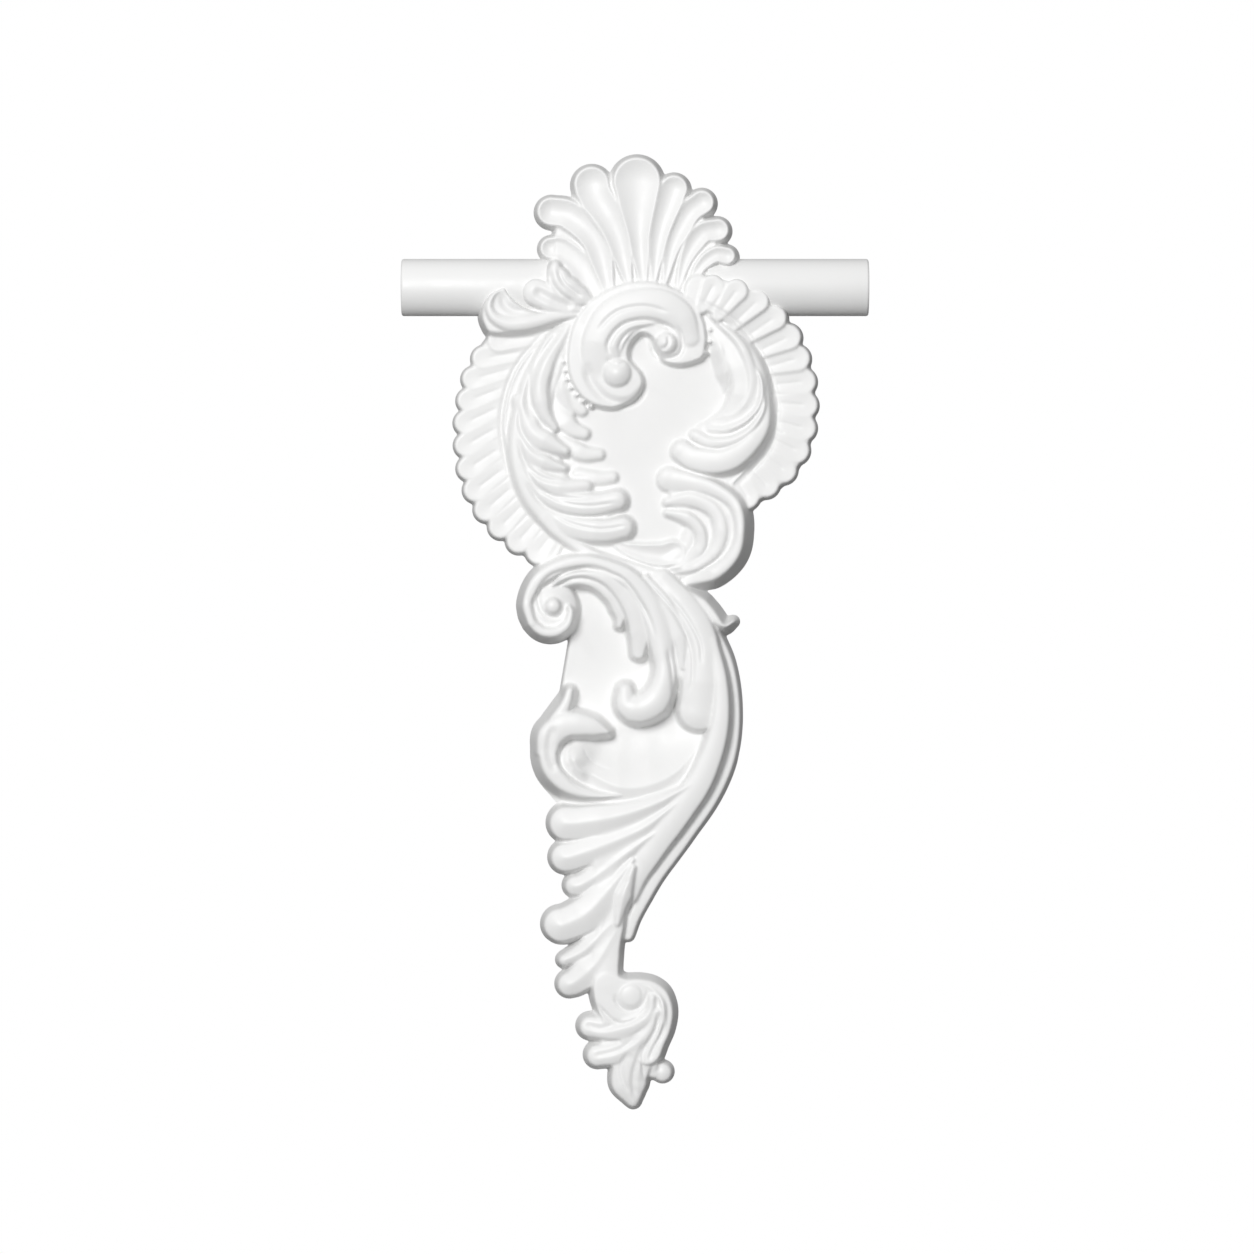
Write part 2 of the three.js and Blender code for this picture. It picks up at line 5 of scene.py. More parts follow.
import bmesh
import bpy
import numpy as np
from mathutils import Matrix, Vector


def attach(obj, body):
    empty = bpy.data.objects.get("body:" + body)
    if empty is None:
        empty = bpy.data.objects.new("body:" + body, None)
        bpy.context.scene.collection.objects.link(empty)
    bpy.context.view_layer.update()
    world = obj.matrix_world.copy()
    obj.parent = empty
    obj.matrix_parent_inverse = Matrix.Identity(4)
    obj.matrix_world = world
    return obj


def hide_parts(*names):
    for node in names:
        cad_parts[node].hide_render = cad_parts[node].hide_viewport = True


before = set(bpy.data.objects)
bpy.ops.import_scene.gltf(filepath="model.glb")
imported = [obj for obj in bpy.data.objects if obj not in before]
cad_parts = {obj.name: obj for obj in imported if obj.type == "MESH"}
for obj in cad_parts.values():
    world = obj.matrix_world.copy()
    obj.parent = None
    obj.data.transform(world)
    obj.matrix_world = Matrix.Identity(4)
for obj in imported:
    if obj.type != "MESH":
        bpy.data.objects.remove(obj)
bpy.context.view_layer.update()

MM = 0.001
RAIL_LENGTH = 245
RAIL_GAP = 76
RAIL_WIDTH = 30
RAIL_DEPTH = 15.5
RAIL_EDGE = 1.2
RAIL_INSET = 0.05
RAIL_SEGMENTS = 40
AWAY = 10
THINNING = 0.6
PAINT = (0.86, 0.86, 0.855)
PAINT_ROUGHNESS = 0.42
FLOOR_SIZE = 1.6
FLOOR_HEIGHT = -1.4
SKY_LEVEL = 0.21
SKY_SLOPE = 0.27
KEY_SIZE = 1.2
KEY_POWER = 81
KEY_FROM = (-0.8, -2.95, 0.85)
AIM = (-0.0042, 0, -0.1782)
SENSOR = 36
CAMERA_DISTANCE = 3.6
FRAME_WIDTH = 0.65835


# Relief: a depth for each point of the wall plane, in millimetres

GRID_STEP = 0.6
GRID_LOW = (-101.0, -435.0)
GRID_HIGH = (103.0, 75.0)
OUTSIDE = -12.0
WALL = 5.5
SLOPE = 2.6
SAMPLE_STEP = 0.45
SOFTENING = 0.5
OVAL_DEPTH = 6.0
FIELD_DEPTH = 9.5
SHELL_BACK_DEPTH = 10.5
LEAF_BACK_DEPTH = 12.5
HEAD_DEPTH = 15.5
C_BODY_DEPTH = 17.5
HOOK_BACK_DEPTH = 13.0
LOW_PLATE_DEPTH = 5.0
BORDER_TRIM = 1.2
BORDER_POINTS = 400
BED_STRIDE = 19
BED_SHARE = 0.38
OUTLINE_POINTS = 400


def spline(points, count):
    """Evenly spaced points on a smooth curve through the given ones, and its length."""
    p = np.asarray(points, float)
    p = np.vstack([2 * p[0] - p[1], p, 2 * p[-1] - p[-2]])
    t = np.linspace(0, 1, 40, endpoint=False)[:, None]
    runs = []
    for a, b, c, d in zip(p[:-3], p[1:-2], p[2:-1], p[3:]):
        cubic = (3 * b - a - 3 * c + d) * t**3
        runs.append(0.5 * (2 * b + (c - a) * t + (2 * a - 5 * b + 4 * c - d) * t**2 + cubic))
    fine = np.vstack([*runs, p[-2:-1]])
    run = np.r_[0, np.cumsum(np.hypot(*np.diff(fine, axis=0).T))]
    s = np.linspace(0, run[-1], count)
    return np.c_[np.interp(s, run, fine[:, 0]), np.interp(s, run, fine[:, 1])], run[-1]


def along(values, share):
    """The values, spread evenly from 0 to 1, at each share."""
    return np.interp(share, np.linspace(0, 1, len(values)), values)


def soft_max(a, b, k):
    """The larger of two depths, rounded over k where they meet."""
    return np.maximum(a, b) + 0.25 * k * np.clip(1 - np.abs(a - b) / k, 0, None) ** 2


def soft_min(a, b, k):
    """The smaller of two depths, rounded over k where they meet."""
    return np.minimum(a, b) - 0.25 * k * np.clip(1 - np.abs(a - b) / k, 0, None) ** 2


def blurred(a, sigma):
    """The grid smoothed with a bell curve of sigma cells."""
    n = int(3 * sigma + 1)
    k = np.exp(-0.5 * (np.arange(-n, n + 1) / sigma) ** 2)
    k /= k.sum()
    padded = np.pad(a, n, mode="edge")
    rows = np.apply_along_axis(lambda v: np.convolve(v, k, "valid"), 0, padded)
    return np.apply_along_axis(lambda v: np.convolve(v, k, "valid"), 1, rows)


def tucked(path, wide):
    """The path with its last point moved back, so that the round tip of a stroke ends there."""
    path = [np.asarray(p, float) for p in path]
    gap = path[-2] - path[-1]
    length = np.hypot(*gap)
    path[-1] = path[-1] + gap / length * min(wide[-1], 0.8 * length)
    return path


def offset(points, distance):
    """The curve moved sideways by distance, to the left of its direction."""
    c, _ = spline(points, 60)
    t = np.gradient(c, axis=0)
    t /= np.hypot(*t.T)[:, None]
    return c + distance * np.c_[-t[:, 1], t[:, 0]]


class Relief:
    """The depth of the carving on an even grid over the wall plane."""

    def __init__(self):
        self.x = np.arange(GRID_LOW[0], GRID_HIGH[0] + GRID_STEP / 2, GRID_STEP)
        self.z = np.arange(GRID_LOW[1], GRID_HIGH[1] + GRID_STEP / 2, GRID_STEP)
        self.depth = np.full((len(self.z), len(self.x)), OUTSIDE)

    def window(self, low, high):
        """The part of the grid between two corners: its slices and its points."""
        spans = []
        for axis, line in ((1, self.z), (0, self.x)):
            first = np.searchsorted(line, low[axis] - GRID_STEP)
            last = np.searchsorted(line, high[axis] + GRID_STEP)
            spans.append(slice(int(first), int(last)))
        return tuple(spans), *np.meshgrid(self.x[spans[1]], self.z[spans[0]])

    def nearest(self, path, wide, margin):
        """For each point near a stroke: how far in from its foot, share along, side and half width."""
        _, length = spline(path, 50)
        n = max(int(length / SAMPLE_STEP), 8)
        c, _ = spline(path, n)
        share = np.linspace(0, 1, n)
        r = along(wide, share)
        spans, x, z = self.window((c - r[:, None]).min(0) - margin, (c + r[:, None]).max(0) + margin)
        inside = np.full(x.shape, -1e9)
        which = np.zeros(x.shape, int)
        for k in range(n):
            e = r[k] - np.hypot(x - c[k, 0], z - c[k, 1])
            better = e > inside
            inside[better] = e[better]
            which[better] = k
        t = np.gradient(c, axis=0)
        t /= np.hypot(*t.T)[:, None]
        across = t[which, 0] * (z - c[which, 1]) - t[which, 1] * (x - c[which, 0])
        return spans, inside, share[which], np.clip(across / r[which], -1, 1), r[which]

    def add(self, spans, depth, blend):
        """Raises the relief to depth, with a small fillet where forms meet."""
        self.depth[spans] = soft_max(self.depth[spans], depth, blend)

    def stroke(
        self, path, wide, deep, drop=3.0, power=2.0, tilt=0.0, ease=1.6, blend=0.5, wall=WALL, foot=0.0
    ):
        """A rib, from its root to its round tip: its top falls by drop towards its edges."""
        spans, inside, share, across, r = self.nearest(tucked(path, wide), wide, 3)
        t = np.clip(1 - inside / r, 0, 1.3)
        crown = along(deep, share) - tilt * across - drop * t**power
        self.add(spans, soft_min(foot + wall * inside, crown, ease), blend)

    def flute(self, path, wide, deep, hollow, lip=1.7, ease=1.4, blend=0.5, wall=WALL, foot=0.0):
        """A hollowed lobe inside a rolled lip."""
        spans, inside, share, _, r = self.nearest(tucked(path, wide), wide, 3)
        u = np.clip((inside - lip) / np.maximum(r - lip, 0.5), 0, 1)
        bowl = hollow * np.minimum(1, r / 7.5) * (1 - (1 - u) ** 2)
        edge = 1.1 * np.clip(1 - inside / lip, 0, 1.3) ** 2
        crown = along(deep, share) - bowl - edge
        self.add(spans, soft_min(foot + wall * inside, crown, ease), blend)

    def groove(self, path, wide, deep):
        """A line cut into what is there, fading out at both ends."""
        spans, inside, share, _, _ = self.nearest(path, [wide, wide], 0.5)
        fade = np.clip(np.minimum(share, 1 - share) * 7, 0, 1)
        t = np.clip(inside / wide, 0, 1)
        self.depth[spans] -= deep * fade * t**2 * (3 - 2 * t)

    def boss(self, centre, radius, deep, dome=0.45, ease=1.5, blend=0.5, wall=WALL):
        """A round bud."""
        centre = np.asarray(centre, float)
        spans, x, z = self.window(centre - radius - 3, centre + radius + 3)
        far = np.hypot(x - centre[0], z - centre[1])
        crown = deep - dome * radius * (far / radius) ** 2
        self.add(spans, soft_min(wall * (radius - far), crown, ease), blend)

    def plate(self, outline, deep, blend=0.5, wall=WALL, foot=0.0):
        """A low level field inside a smooth closed outline."""
        c, _ = spline([*outline, outline[0]], OUTLINE_POINTS)
        spans, x, z = self.window(c.min(0) - 3, c.max(0) + 3)
        far = np.full(x.shape, 1e9)
        within = np.zeros(x.shape, bool)
        for a, b in zip(c[:-1], c[1:]):
            ab = b - a
            t = np.clip(((x - a[0]) * ab[0] + (z - a[1]) * ab[1]) / (ab @ ab), 0, 1)
            far = np.minimum(far, np.hypot(x - a[0] - t * ab[0], z - a[1] - t * ab[1]))
            if a[1] != b[1]:
                crosses = (a[1] > z) != (b[1] > z)
                within ^= crosses & (x < ab[0] * (z - a[1]) / ab[1] + a[0])
        inside = np.where(within, far, -far)
        self.add(spans, soft_min(foot + wall * inside, np.full(x.shape, float(deep)), 1.0), blend)


# Shell and side leaves: rows of path, half widths and depths, each list spread along the stroke

SHELL_BACK = [
    (-43, 8), (-44, 20), (-42, 33), (-28, 45), (-13, 54), (0, 58), (12, 54), (24, 48), (34, 41),
    (41, 31), (45, 17), (38, 2), (22, -10), (0, -14), (-24, -10),
]
SHELL = [
    ([(-19, -8), (-28, 10), (-38, 19.5), (-51.5, 21)], [5, 8.5, 8.5, 7.5], [15, 14, 13.5, 12.5]),
    ([(26, -5), (34, 10), (42, 16.5), (55, 15)], [4, 5, 6.5, 7], [16, 16, 16.5, 16.5]),
    ([(-13, -5), (-21, 24), (-34, 37), (-53, 41.5)], [5, 8.5, 10, 9.5], [16, 15.5, 15, 13]),
    ([(22, -3), (27, 15), (35, 27.5), (51, 31.5)], [4, 5.5, 7.5, 8], [16.5, 15.5, 15, 14]),
    ([(-3, 0), (-10, 28), (-21, 48), (-26, 64.5)], [4.5, 8, 10.5, 11.5], [16.5, 16, 15.5, 14]),
    ([(15, 0), (20, 22), (28, 38), (41.5, 49.5)], [4, 6, 8, 8.5], [16.5, 15.5, 15, 14]),
    ([(9.5, 0), (12.5, 26), (18, 44), (23.5, 60)], [4, 6.4, 8.4, 9.5], [16.5, 16, 15.5, 14.5]),
    ([(4.5, 0), (2, 26), (0.5, 70)], [4.8, 8.5, 15], [16.5, 16.3, 15.5]),
]
LEAF_BACK = [
    (-24, -9), (-30, -14.5), (-42, -15), (-56, -13), (-57, -2), (-50, 5), (-44, 10), (-38, 10),
    (-33, 6), (-28, 1), (-23, -5),
]
LEAF_A = [
    (-29, -14), (-42, -13), (-50, -12.3), (-56, -11), (-61, -8), (-65, -3.5), (-67.5, 0.5), (-72, -0.5),
    (-77.5, -4), (-80.5, -9.5), (-81.5, -15.5), (-80, -21), (-76.5, -25.5), (-68, -26.2), (-60, -25.2),
    (-53, -22), (-45, -18.3), (-38, -16.3),
]
LEAF_A_DEPTH = 17.0
SIDE_LEAVES = [
    (
        [
            (-29, -15), (-42, -16.2), (-54, -18.8), (-65, -20), (-73, -17), (-76.3, -11), (-74, -5),
            (-68, -0.5),
        ],
        [2, 3.6, 5, 5.6, 5.4, 4.4, 3.2, 1.6],
        [16, 17.8, 19, 19.8, 20, 20, 19.5, 18.8],
    ),
    ([(-29, -12.5), (-40, -8.5), (-50, -3.8), (-58.5, -0.5)], [3, 6.5, 8.6, 8.2], [16.5, 18.4, 19.6, 19]),
    (
        [(-23, -8), (-31, -4.5), (-38, 0.5), (-41.5, 7), (-42, 14.5)],
        [3, 6.5, 8, 7.4, 4.2],
        [16.5, 18.8, 20.3, 20.3, 19.2],
    ),
]
LEAF_CUPS = [
    ([(-46, -13.5), (-54, -12.5), (-62, -13), (-68, -9.5), (-69.5, -3)], 3.0, 1.6),
    ([(-32, -11.5), (-43, -7.5), (-53, -2)], 4.0, 1.8),
    ([(-40.5, 9), (-37.5, 2), (-32, -3), (-27, -6)], 1.6, 1.6),
    ([(-44, 8), (-43.5, 2), (-39, -4), (-31, -9)], 1.5, 1.6),
]

# The oval: a plate, a higher field inside the beads, and the two scalloped borders

OVAL = [
    (-2, 0), (46, 6), (64, -2), (84, -23), (93, -44), (94.5, -62), (91.5, -83), (82, -99), (69, -109.5),
    (54, -121), (44, -152), (8, -153), (-24, -147), (-50, -145), (-67, -134.5), (-81.5, -120.5),
    (-89.5, -103.5), (-92.5, -82), (-92, -63), (-87, -43), (-73, -26), (-30, -8),
]
FIELD = [
    (-2, -4), (31, -7), (50, -18), (65, -36), (72.5, -55), (73.5, -68), (69, -85), (57, -101), (52, -118),
    (44, -146), (10, -152), (-18, -147), (-40, -132), (-54, -118), (-66, -99), (-71, -78), (-70, -60),
    (-63, -41), (-47, -21), (-28, -10),
]
BORDERS = [
    {
        "inner": [(-46, -22), (-62, -41), (-69, -60), (-70, -78), (-65, -98), (-53, -117), (-38, -131)],
        "outer": [
            (-75, -25), (-89, -42), (-94.5, -63), (-95.5, -82), (-92.5, -104), (-84, -122),
            (-69.5, -137), (-50, -148.5),
        ],
        "count": 12,
        "rise": [10, 9, 9, 9, 9, 9, 9, 9],
        "bead": 2.0,
        "line": 0.0,
    },
    {
        "inner": [(31, -9), (50, -20), (64, -37), (71, -55), (72, -68), (68, -84), (50, -104)],
        "outer": [
            (38, 9), (66, 1), (87, -21), (95.5, -44), (97.5, -62), (94.5, -84), (84, -102), (71, -112),
            (56, -120),
        ],
        "count": 13,
        "rise": [17.5, 17.8, 14, 10.5, 9, 9, 9, 9, 9],
        "bead": 0.0,
        "line": 2.8,
    },
]

# The rise from the right border to the shell, and the roots of the rail

SHOULDER = ([(34, 0), (50, -3), (66, -12), (78, -25)], [8, 10, 9.5, 7], [15.8, 16, 13.2, 9.5])
RAIL_ROOTS = [
    ([(-58, 0), (-44, 0), (-34, 0)], [13, 13, 11], [14, 13, 9]),
    ([(58, 0), (44, 0), (34, 0)], [13, 13, 11], [14, 13, 9]),
]

# Acanthus leaves inside the oval

LEFT_BODY = (
    [(-36, -24), (-49, -48), (-53, -78), (-46, -103), (-30, -118), (-10, -121)],
    [7, 11, 14, 15, 14, 11],
    [13, 13.5, 13.5, 13.5, 14, 14],
)
LEFT_STEM = (
    [(-30, -16), (-46, -34), (-57, -60), (-61, -84), (-55, -107), (-43, -122), (-22, -133)],
    [4, 6, 7, 7.5, 8, 8, 6],
    [14, 14.5, 15, 15, 15, 14.5, 13],
)
LEFT_LOBES = [
    (
        [(-30, -17), (-38, -32), (-40, -46), (-37, -59), (-31.5, -70)],
        [3, 5, 6.5, 6.5, 4.2],
        [14, 14.5, 15, 14.5, 12.8],
    ),
    (
        [(-32, -17), (-44, -33), (-50, -50), (-48, -65), (-39.5, -78)],
        [4, 7.5, 8.5, 7.5, 4.5],
        [15, 17, 18, 18, 16],
    ),
    ([(-60, -60), (-54, -76), (-44, -82.5), (-32, -88.5)], [6, 8, 8, 5], [14.5, 16.5, 17.5, 16.5]),
    ([(-61, -74), (-55, -87), (-45, -93), (-33, -96.5)], [6, 7.5, 7, 4], [14.5, 16.5, 17, 15.5]),
    ([(-60, -88), (-51, -100.5), (-38, -105.5), (-20, -104)], [6, 8, 8, 5.5], [14.5, 16.5, 17.5, 16]),
    ([(-55, -101), (-41, -112), (-22, -114.5), (-1.5, -110.5)], [6, 8.5, 9, 8], [14.5, 16.5, 18.5, 18.5]),
    ([(-47, -115), (-34, -125), (-17, -128), (2, -125)], [6, 8.5, 9, 8.5], [14, 16, 18.5, 18.5]),
]
DROPS = [
    ([(-37, -46), (-33, -57), (-25.5, -68.5)], [5, 6.4, 4.4], [12, 13, 12.5]),
    ([(-42, -62), (-34, -73.5), (-22.5, -79)], [5, 6.4, 4.6], [12.5, 13.8, 13.2]),
    ([(-38, -80), (-28, -87), (-14.5, -88.5)], [4.4, 5.8, 4.2], [12.5, 13.3, 12.8]),
    ([(-30, -98), (-19, -100.5), (-7.5, -99.5)], [4.4, 5, 4.4], [12.5, 13, 12.8]),
]
RIGHT_BODY = (
    [(36, -16), (54, -36), (60, -54), (54, -70), (41, -78), (28, -80)],
    [5, 11, 13, 14, 13, 10],
    [13, 15.5, 17, 17, 15, 12],
)
RIGHT_FACE = (
    [(32, -13), (42, -26), (47, -40), (47.5, -53), (42, -61.5), (33, -64)],
    [5, 12, 15, 14, 8, 4],
    [13.5, 15.5, 16.5, 16.5, 14.5, 11],
)
RIGHT_RIBS = [
    (
        [(36, -13), (54, -29), (61, -45), (60, -57), (53, -66.5), (40, -69.5)],
        [3, 5, 6, 6, 5, 3.5],
        [14, 17.5, 18.5, 18, 17, 13.5],
    ),
    (
        [(60, -36), (66, -50), (65, -62), (58, -70.5), (48, -75), (35, -75)],
        [3, 4.5, 5, 5, 5, 4],
        [16, 19, 19.5, 19.5, 17.5, 13.5],
    ),
    (
        [(65, -46), (67.5, -62), (62, -73.5), (52, -80.5), (40, -82), (27, -76)],
        [3.5, 4.5, 5.5, 6, 6, 5],
        [16, 19, 20, 19.5, 18, 14],
    ),
    (
        [(69, -54), (68, -72), (58, -85), (46, -91.5), (32, -90.5), (18, -82.5)],
        [4, 5.5, 8, 9.5, 9.5, 8],
        [15, 18, 20, 19.5, 18, 15.5],
    ),
]

# The hooked scroll at the lower right of the oval

HOOK_BACK = [
    (14, -98), (34, -104), (50, -116), (53, -136), (42, -150), (14, -152), (12, -147), (25, -139),
    (30, -130), (18, -119), (14, -110),
]
HOOK_BODY = (
    [(20, -106), (38, -110), (47, -123), (43, -138), (27, -148), (10, -149)],
    [7, 9, 12, 11, 9, 6],
    [12, 15, 16.5, 15.5, 12, 9],
)
HOOK_RIBS = [
    ([(29, -128), (25, -138), (13, -144.5), (-2, -144.5)], [5, 7, 6, 3], [13, 12.5, 11.5, 10.5]),
    (
        [(17, -118.5), (27, -121), (34, -128), (34, -137), (26, -144), (12, -148)],
        [4, 6, 6, 6, 5, 3],
        [14, 16.5, 16.5, 15.5, 12.5, 10.5],
    ),
    (
        [(17, -113), (30, -111.5), (41, -117), (45, -127), (42, -138), (32, -146), (16, -150.5)],
        [4.5, 7, 7, 7, 6.5, 5.5, 3],
        [14, 16.5, 17.5, 18, 17, 15, 11],
    ),
    (
        [
            (18, -101), (30, -103), (42, -106.5), (52, -114), (55, -126), (52.5, -139), (43, -149),
            (24, -156),
        ],
        [8.5, 7.5, 7, 7, 6.5, 7, 7, 4],
        [14.5, 16.5, 18.5, 20, 20.5, 19.5, 17.5, 12],
    ),
]

# The band along the foot of the oval and the hollow beside the hook

FOOT_BAND = (
    [(-47, -121), (-39, -129.5), (-22, -140), (1, -147.5), (22, -154)],
    [6, 5, 4.6, 4.6, 4.4],
    [14.5, 14.2, 13.8, 13.6, 13.4],
)
SCOOP = ([(-12, -134), (0, -138.5), (13, -140.5), (29, -138)], [3, 6, 8, 9], [12, 13, 13.6, 13.6])

# The C scroll under the shell

C_BODY = [
    (38.8, -28), (37.6, -19.5), (33, -9), (25, -2.2), (15.5, 1.8), (5, 3.6), (-5.5, 2.6), (-15.5, -1.4),
    (-24.5, -7.4), (-31.8, -16.5), (-35.4, -27), (-36.6, -40), (-34.2, -50.6), (-28.8, -58.8),
    (-21.5, -63.4), (-13, -65), (-7, -63.8), (0, -60.2), (4, -55), (5.5, -50), (4, -45), (0.5, -41),
    (-2, -37.5), (-2, -33), (0, -29), (4, -26), (8, -28), (10, -33), (13, -39), (18, -41.8), (24, -42.5),
    (31, -41), (36.8, -37.5),
]
C_CROWN = (
    [
        (29, -27), (24, -16), (14, -11), (3, -11.5), (-8, -16), (-15, -25), (-18, -36), (-16, -48),
        (-8, -53),
    ],
    [8, 10, 12, 13, 14, 14.5, 14, 12.5, 10],
    [19, 20.5, 21.2, 21.5, 21.5, 21.5, 21, 19, 16.5],
)
C_RIM = [
    (37.2, -24), (35.6, -17), (31.2, -9), (24, -3.2), (15, 0.6), (5, 2.4), (-5.4, 1.4), (-14.8, -2.6),
    (-23.6, -8.6), (-30.5, -17.4), (-34, -27.6), (-35.2, -40), (-32.8, -50.2), (-27.6, -57.8),
]
C_LIP = [(-20, -40), (-18.5, -48), (-12, -53.5), (-4, -54.3), (1.5, -51), (3.8, -45)]
C_BUDS = [((16.5, -30), 8.5, 22.3), ((-9.3, -45.5), 10.2, 23)]
C_BURRS = [
    ([(39.2, -23), (39.2, -29), (37.2, -34.8)], 3),
    ([(-37.2, -39.5), (-35, -50), (-29.4, -58.2), (-23, -62.8)], 7),
]

# The lower scroll: a volute, its bands and the two broad curled ends

LOW_PLATE = [
    (-35, -184), (-34, -164), (-38, -156), (-18, -150), (8, -160), (30, -190), (38, -228), (22, -256),
    (-8, -268), (-30, -264), (-42, -250), (-41, -222),
]
CURL_BODY = (
    [(-2, -154), (12, -166), (22, -182), (25, -198), (24, -214)],
    [7, 12, 16, 17, 14],
    [17.5, 17.5, 17.5, 17, 16],
)
CURL_RIGHT = (
    [(14, -154), (26, -169), (34, -185), (35.5, -200), (34.5, -216), (31.5, -234.5)],
    [8, 10, 11.5, 12, 13.2, 13],
    [17, 18.5, 19.5, 20, 20, 18.5],
)
CURL_LEFT = (
    [
        (-1, -154.5), (8, -166), (13, -180), (14.5, -191), (15.5, -204), (11, -216), (3, -221),
        (-4, -219), (-6, -205),
    ],
    [8, 9, 9.5, 9.5, 8, 9, 10.5, 10, 6.8],
    [20.5, 20.5, 20.5, 20.3, 20.3, 21, 21.3, 21, 19.5],
)
BANDS = [
    ([(6, -153), (16, -167), (23, -183), (25.5, -204)], [5, 7, 7, 4], [18, 19.5, 19.5, 18]),
    (
        [(-42, -158), (-30, -154.5), (-20, -156.5), (-12, -163), (-8, -172), (-8.5, -181.5)],
        [2, 4.5, 5, 6, 6, 4],
        [13, 17.5, 17.5, 17, 16, 14.5],
    ),
    (
        [
            (-47, -160), (-39, -153.5), (-29, -150.5), (-18, -152), (-9, -158), (-2, -168), (2, -180),
            (1.5, -197.8),
        ],
        [2.5, 4.5, 5, 6, 7, 7.5, 8, 6],
        [14, 19.2, 20, 20, 19, 18.5, 17.5, 15.5],
    ),
    (
        [
            (-54, -176), (-56.5, -166), (-51.5, -155), (-42, -148), (-28, -144), (-14, -147),
            (-1, -154.5), (8, -166), (12, -178),
        ],
        [5.8, 6, 7, 7, 6.5, 7, 8, 8, 7],
        [21, 21, 21, 21, 21, 21, 21, 20.5, 20],
    ),
]
VOLUTE = ((-45, -168.5), 17.2, 18)
VOLUTE_RING = (
    [
        (-56.2, -167), (-54, -175.5), (-48.5, -180.5), (-41.5, -181), (-35.5, -177), (-33.5, -170.5),
        (-36, -164),
    ],
    [5.8, 5.8, 6, 6, 5.8, 5.4, 4.6],
    [21, 21, 21, 21, 20.5, 20, 19.5],
)
VOLUTE_EYE = ((-42.8, -167.3), 7.2, 22)
HORN = ([(26, -160), (38, -170), (46, -177.5), (55, -174)], [6, 8, 6.5, 3.6], [15, 16, 16.5, 16])

# The outer stem and the bowl leaf

LEDGE = (
    [
        (40, -178), (49, -198), (52.5, -222), (50, -246), (40.5, -268), (26, -289), (11, -309),
        (0.5, -328), (-5, -343.5),
    ],
    [5, 4.5, 4.2, 4.2, 4.5, 4.5, 5, 5, 4],
    [13, 11, 9.5, 9, 9, 9, 9, 9, 8],
)
RIB = (
    [(40, -186), (45, -208), (44, -232), (36, -255), (25, -272), (12, -290), (2, -306), (-5, -324)],
    [6, 6.5, 7.5, 8.5, 9.5, 9.5, 8.5, 6],
    [19, 20, 20, 19, 18, 17, 15.5, 12.5],
)
BOWL = (
    [(-36, -241), (-27, -252), (-8, -262), (11, -260), (26, -250), (38, -232), (44, -214)],
    [14, 23, 30, 30, 24, 16, 8],
    [15.5, 15.8, 15.5, 15.5, 16, 17, 18],
)
BOWL_FLOOR = ([(-34, -243), (-29, -252), (-16, -258), (6, -259)], [6, 9, 10, 8], [15, 15.5, 15.5, 15])
BOWL_RIM = (
    [
        (30, -250), (12, -262), (-10, -266.5), (-30, -264), (-43, -254), (-45.5, -240), (-40, -225),
        (-33, -208),
    ],
    [2.5, 3, 3.5, 6, 8.5, 9.5, 8.5, 4],
    [18, 17.5, 17, 17, 18, 19, 18, 15],
)
BOWL_SIDE = ([(-22, -259), (-30, -252), (-33, -243), (-30, -231)], [10, 18, 21, 12], [17.5, 18, 18.2, 18])
BEAK = (
    [(-46, -243), (-44, -235), (-36.5, -229.5), (-27, -229.5), (-19, -231.5), (-10.6, -234.5)],
    [8, 9.5, 9.5, 9, 7.5, 4],
    [19, 20, 20.8, 20.8, 20.2, 18.8],
)
FINGER = ([(-41, -228), (-36, -218), (-32.8, -207.5)], [7, 5.4, 4.5], [19.5, 19, 17.8])

# The lobes along the left of the stem, down to the neck

STEM_BODY = (
    [(24, -262), (4, -278), (-12, -294), (-17, -314), (-19, -336), (-20, -357)],
    [11, 19, 23, 17, 13, 12],
    [16, 16, 15.5, 15, 14, 13],
)
NECK = ([(-8, -322), (-14, -342), (-15.5, -357), (-13, -374)], [6, 8.4, 9.2, 9], [14, 14, 14.6, 15.6])
STEM_LOBES = [
    ([(-10, -338), (-20, -354), (-30, -363), (-41.5, -369)], [5.5, 8.5, 10, 8], [14, 15, 15.5, 14]),
    ([(-12, -333), (-26, -347), (-41.5, -355)], [5.5, 7.5, 5], [14, 14.8, 13.5]),
    (
        [(-1, -300), (-13, -315), (-25, -328), (-37, -334), (-49, -334)],
        [4, 7.5, 10.5, 11.5, 10.5],
        [16, 16, 16.8, 16.8, 15.5],
    ),
    (
        [(10, -286), (-5, -297), (-18, -307), (-28, -313), (-38.5, -315)],
        [3.5, 5.5, 7, 8, 7],
        [16.5, 16.5, 16, 15.5, 14.5],
    ),
    (
        [(22, -270), (5, -283), (-15, -292), (-32, -298), (-46, -300.5)],
        [3.5, 6, 8.5, 9.5, 9.5],
        [17.5, 17.5, 17, 17, 15.5],
    ),
    (
        [(30, -260), (12, -270), (-8, -277), (-28, -280.5), (-47, -281.5)],
        [3.5, 6, 8.5, 10.5, 11],
        [18, 18, 18, 18, 16.5],
    ),
    ([(-1, -304), (-6.5, -320), (-10, -337.5)], [4.5, 7.2, 4.2], [17.5, 18, 16]),
]

# The finial: a curled head, three hanging lobes and a small ball

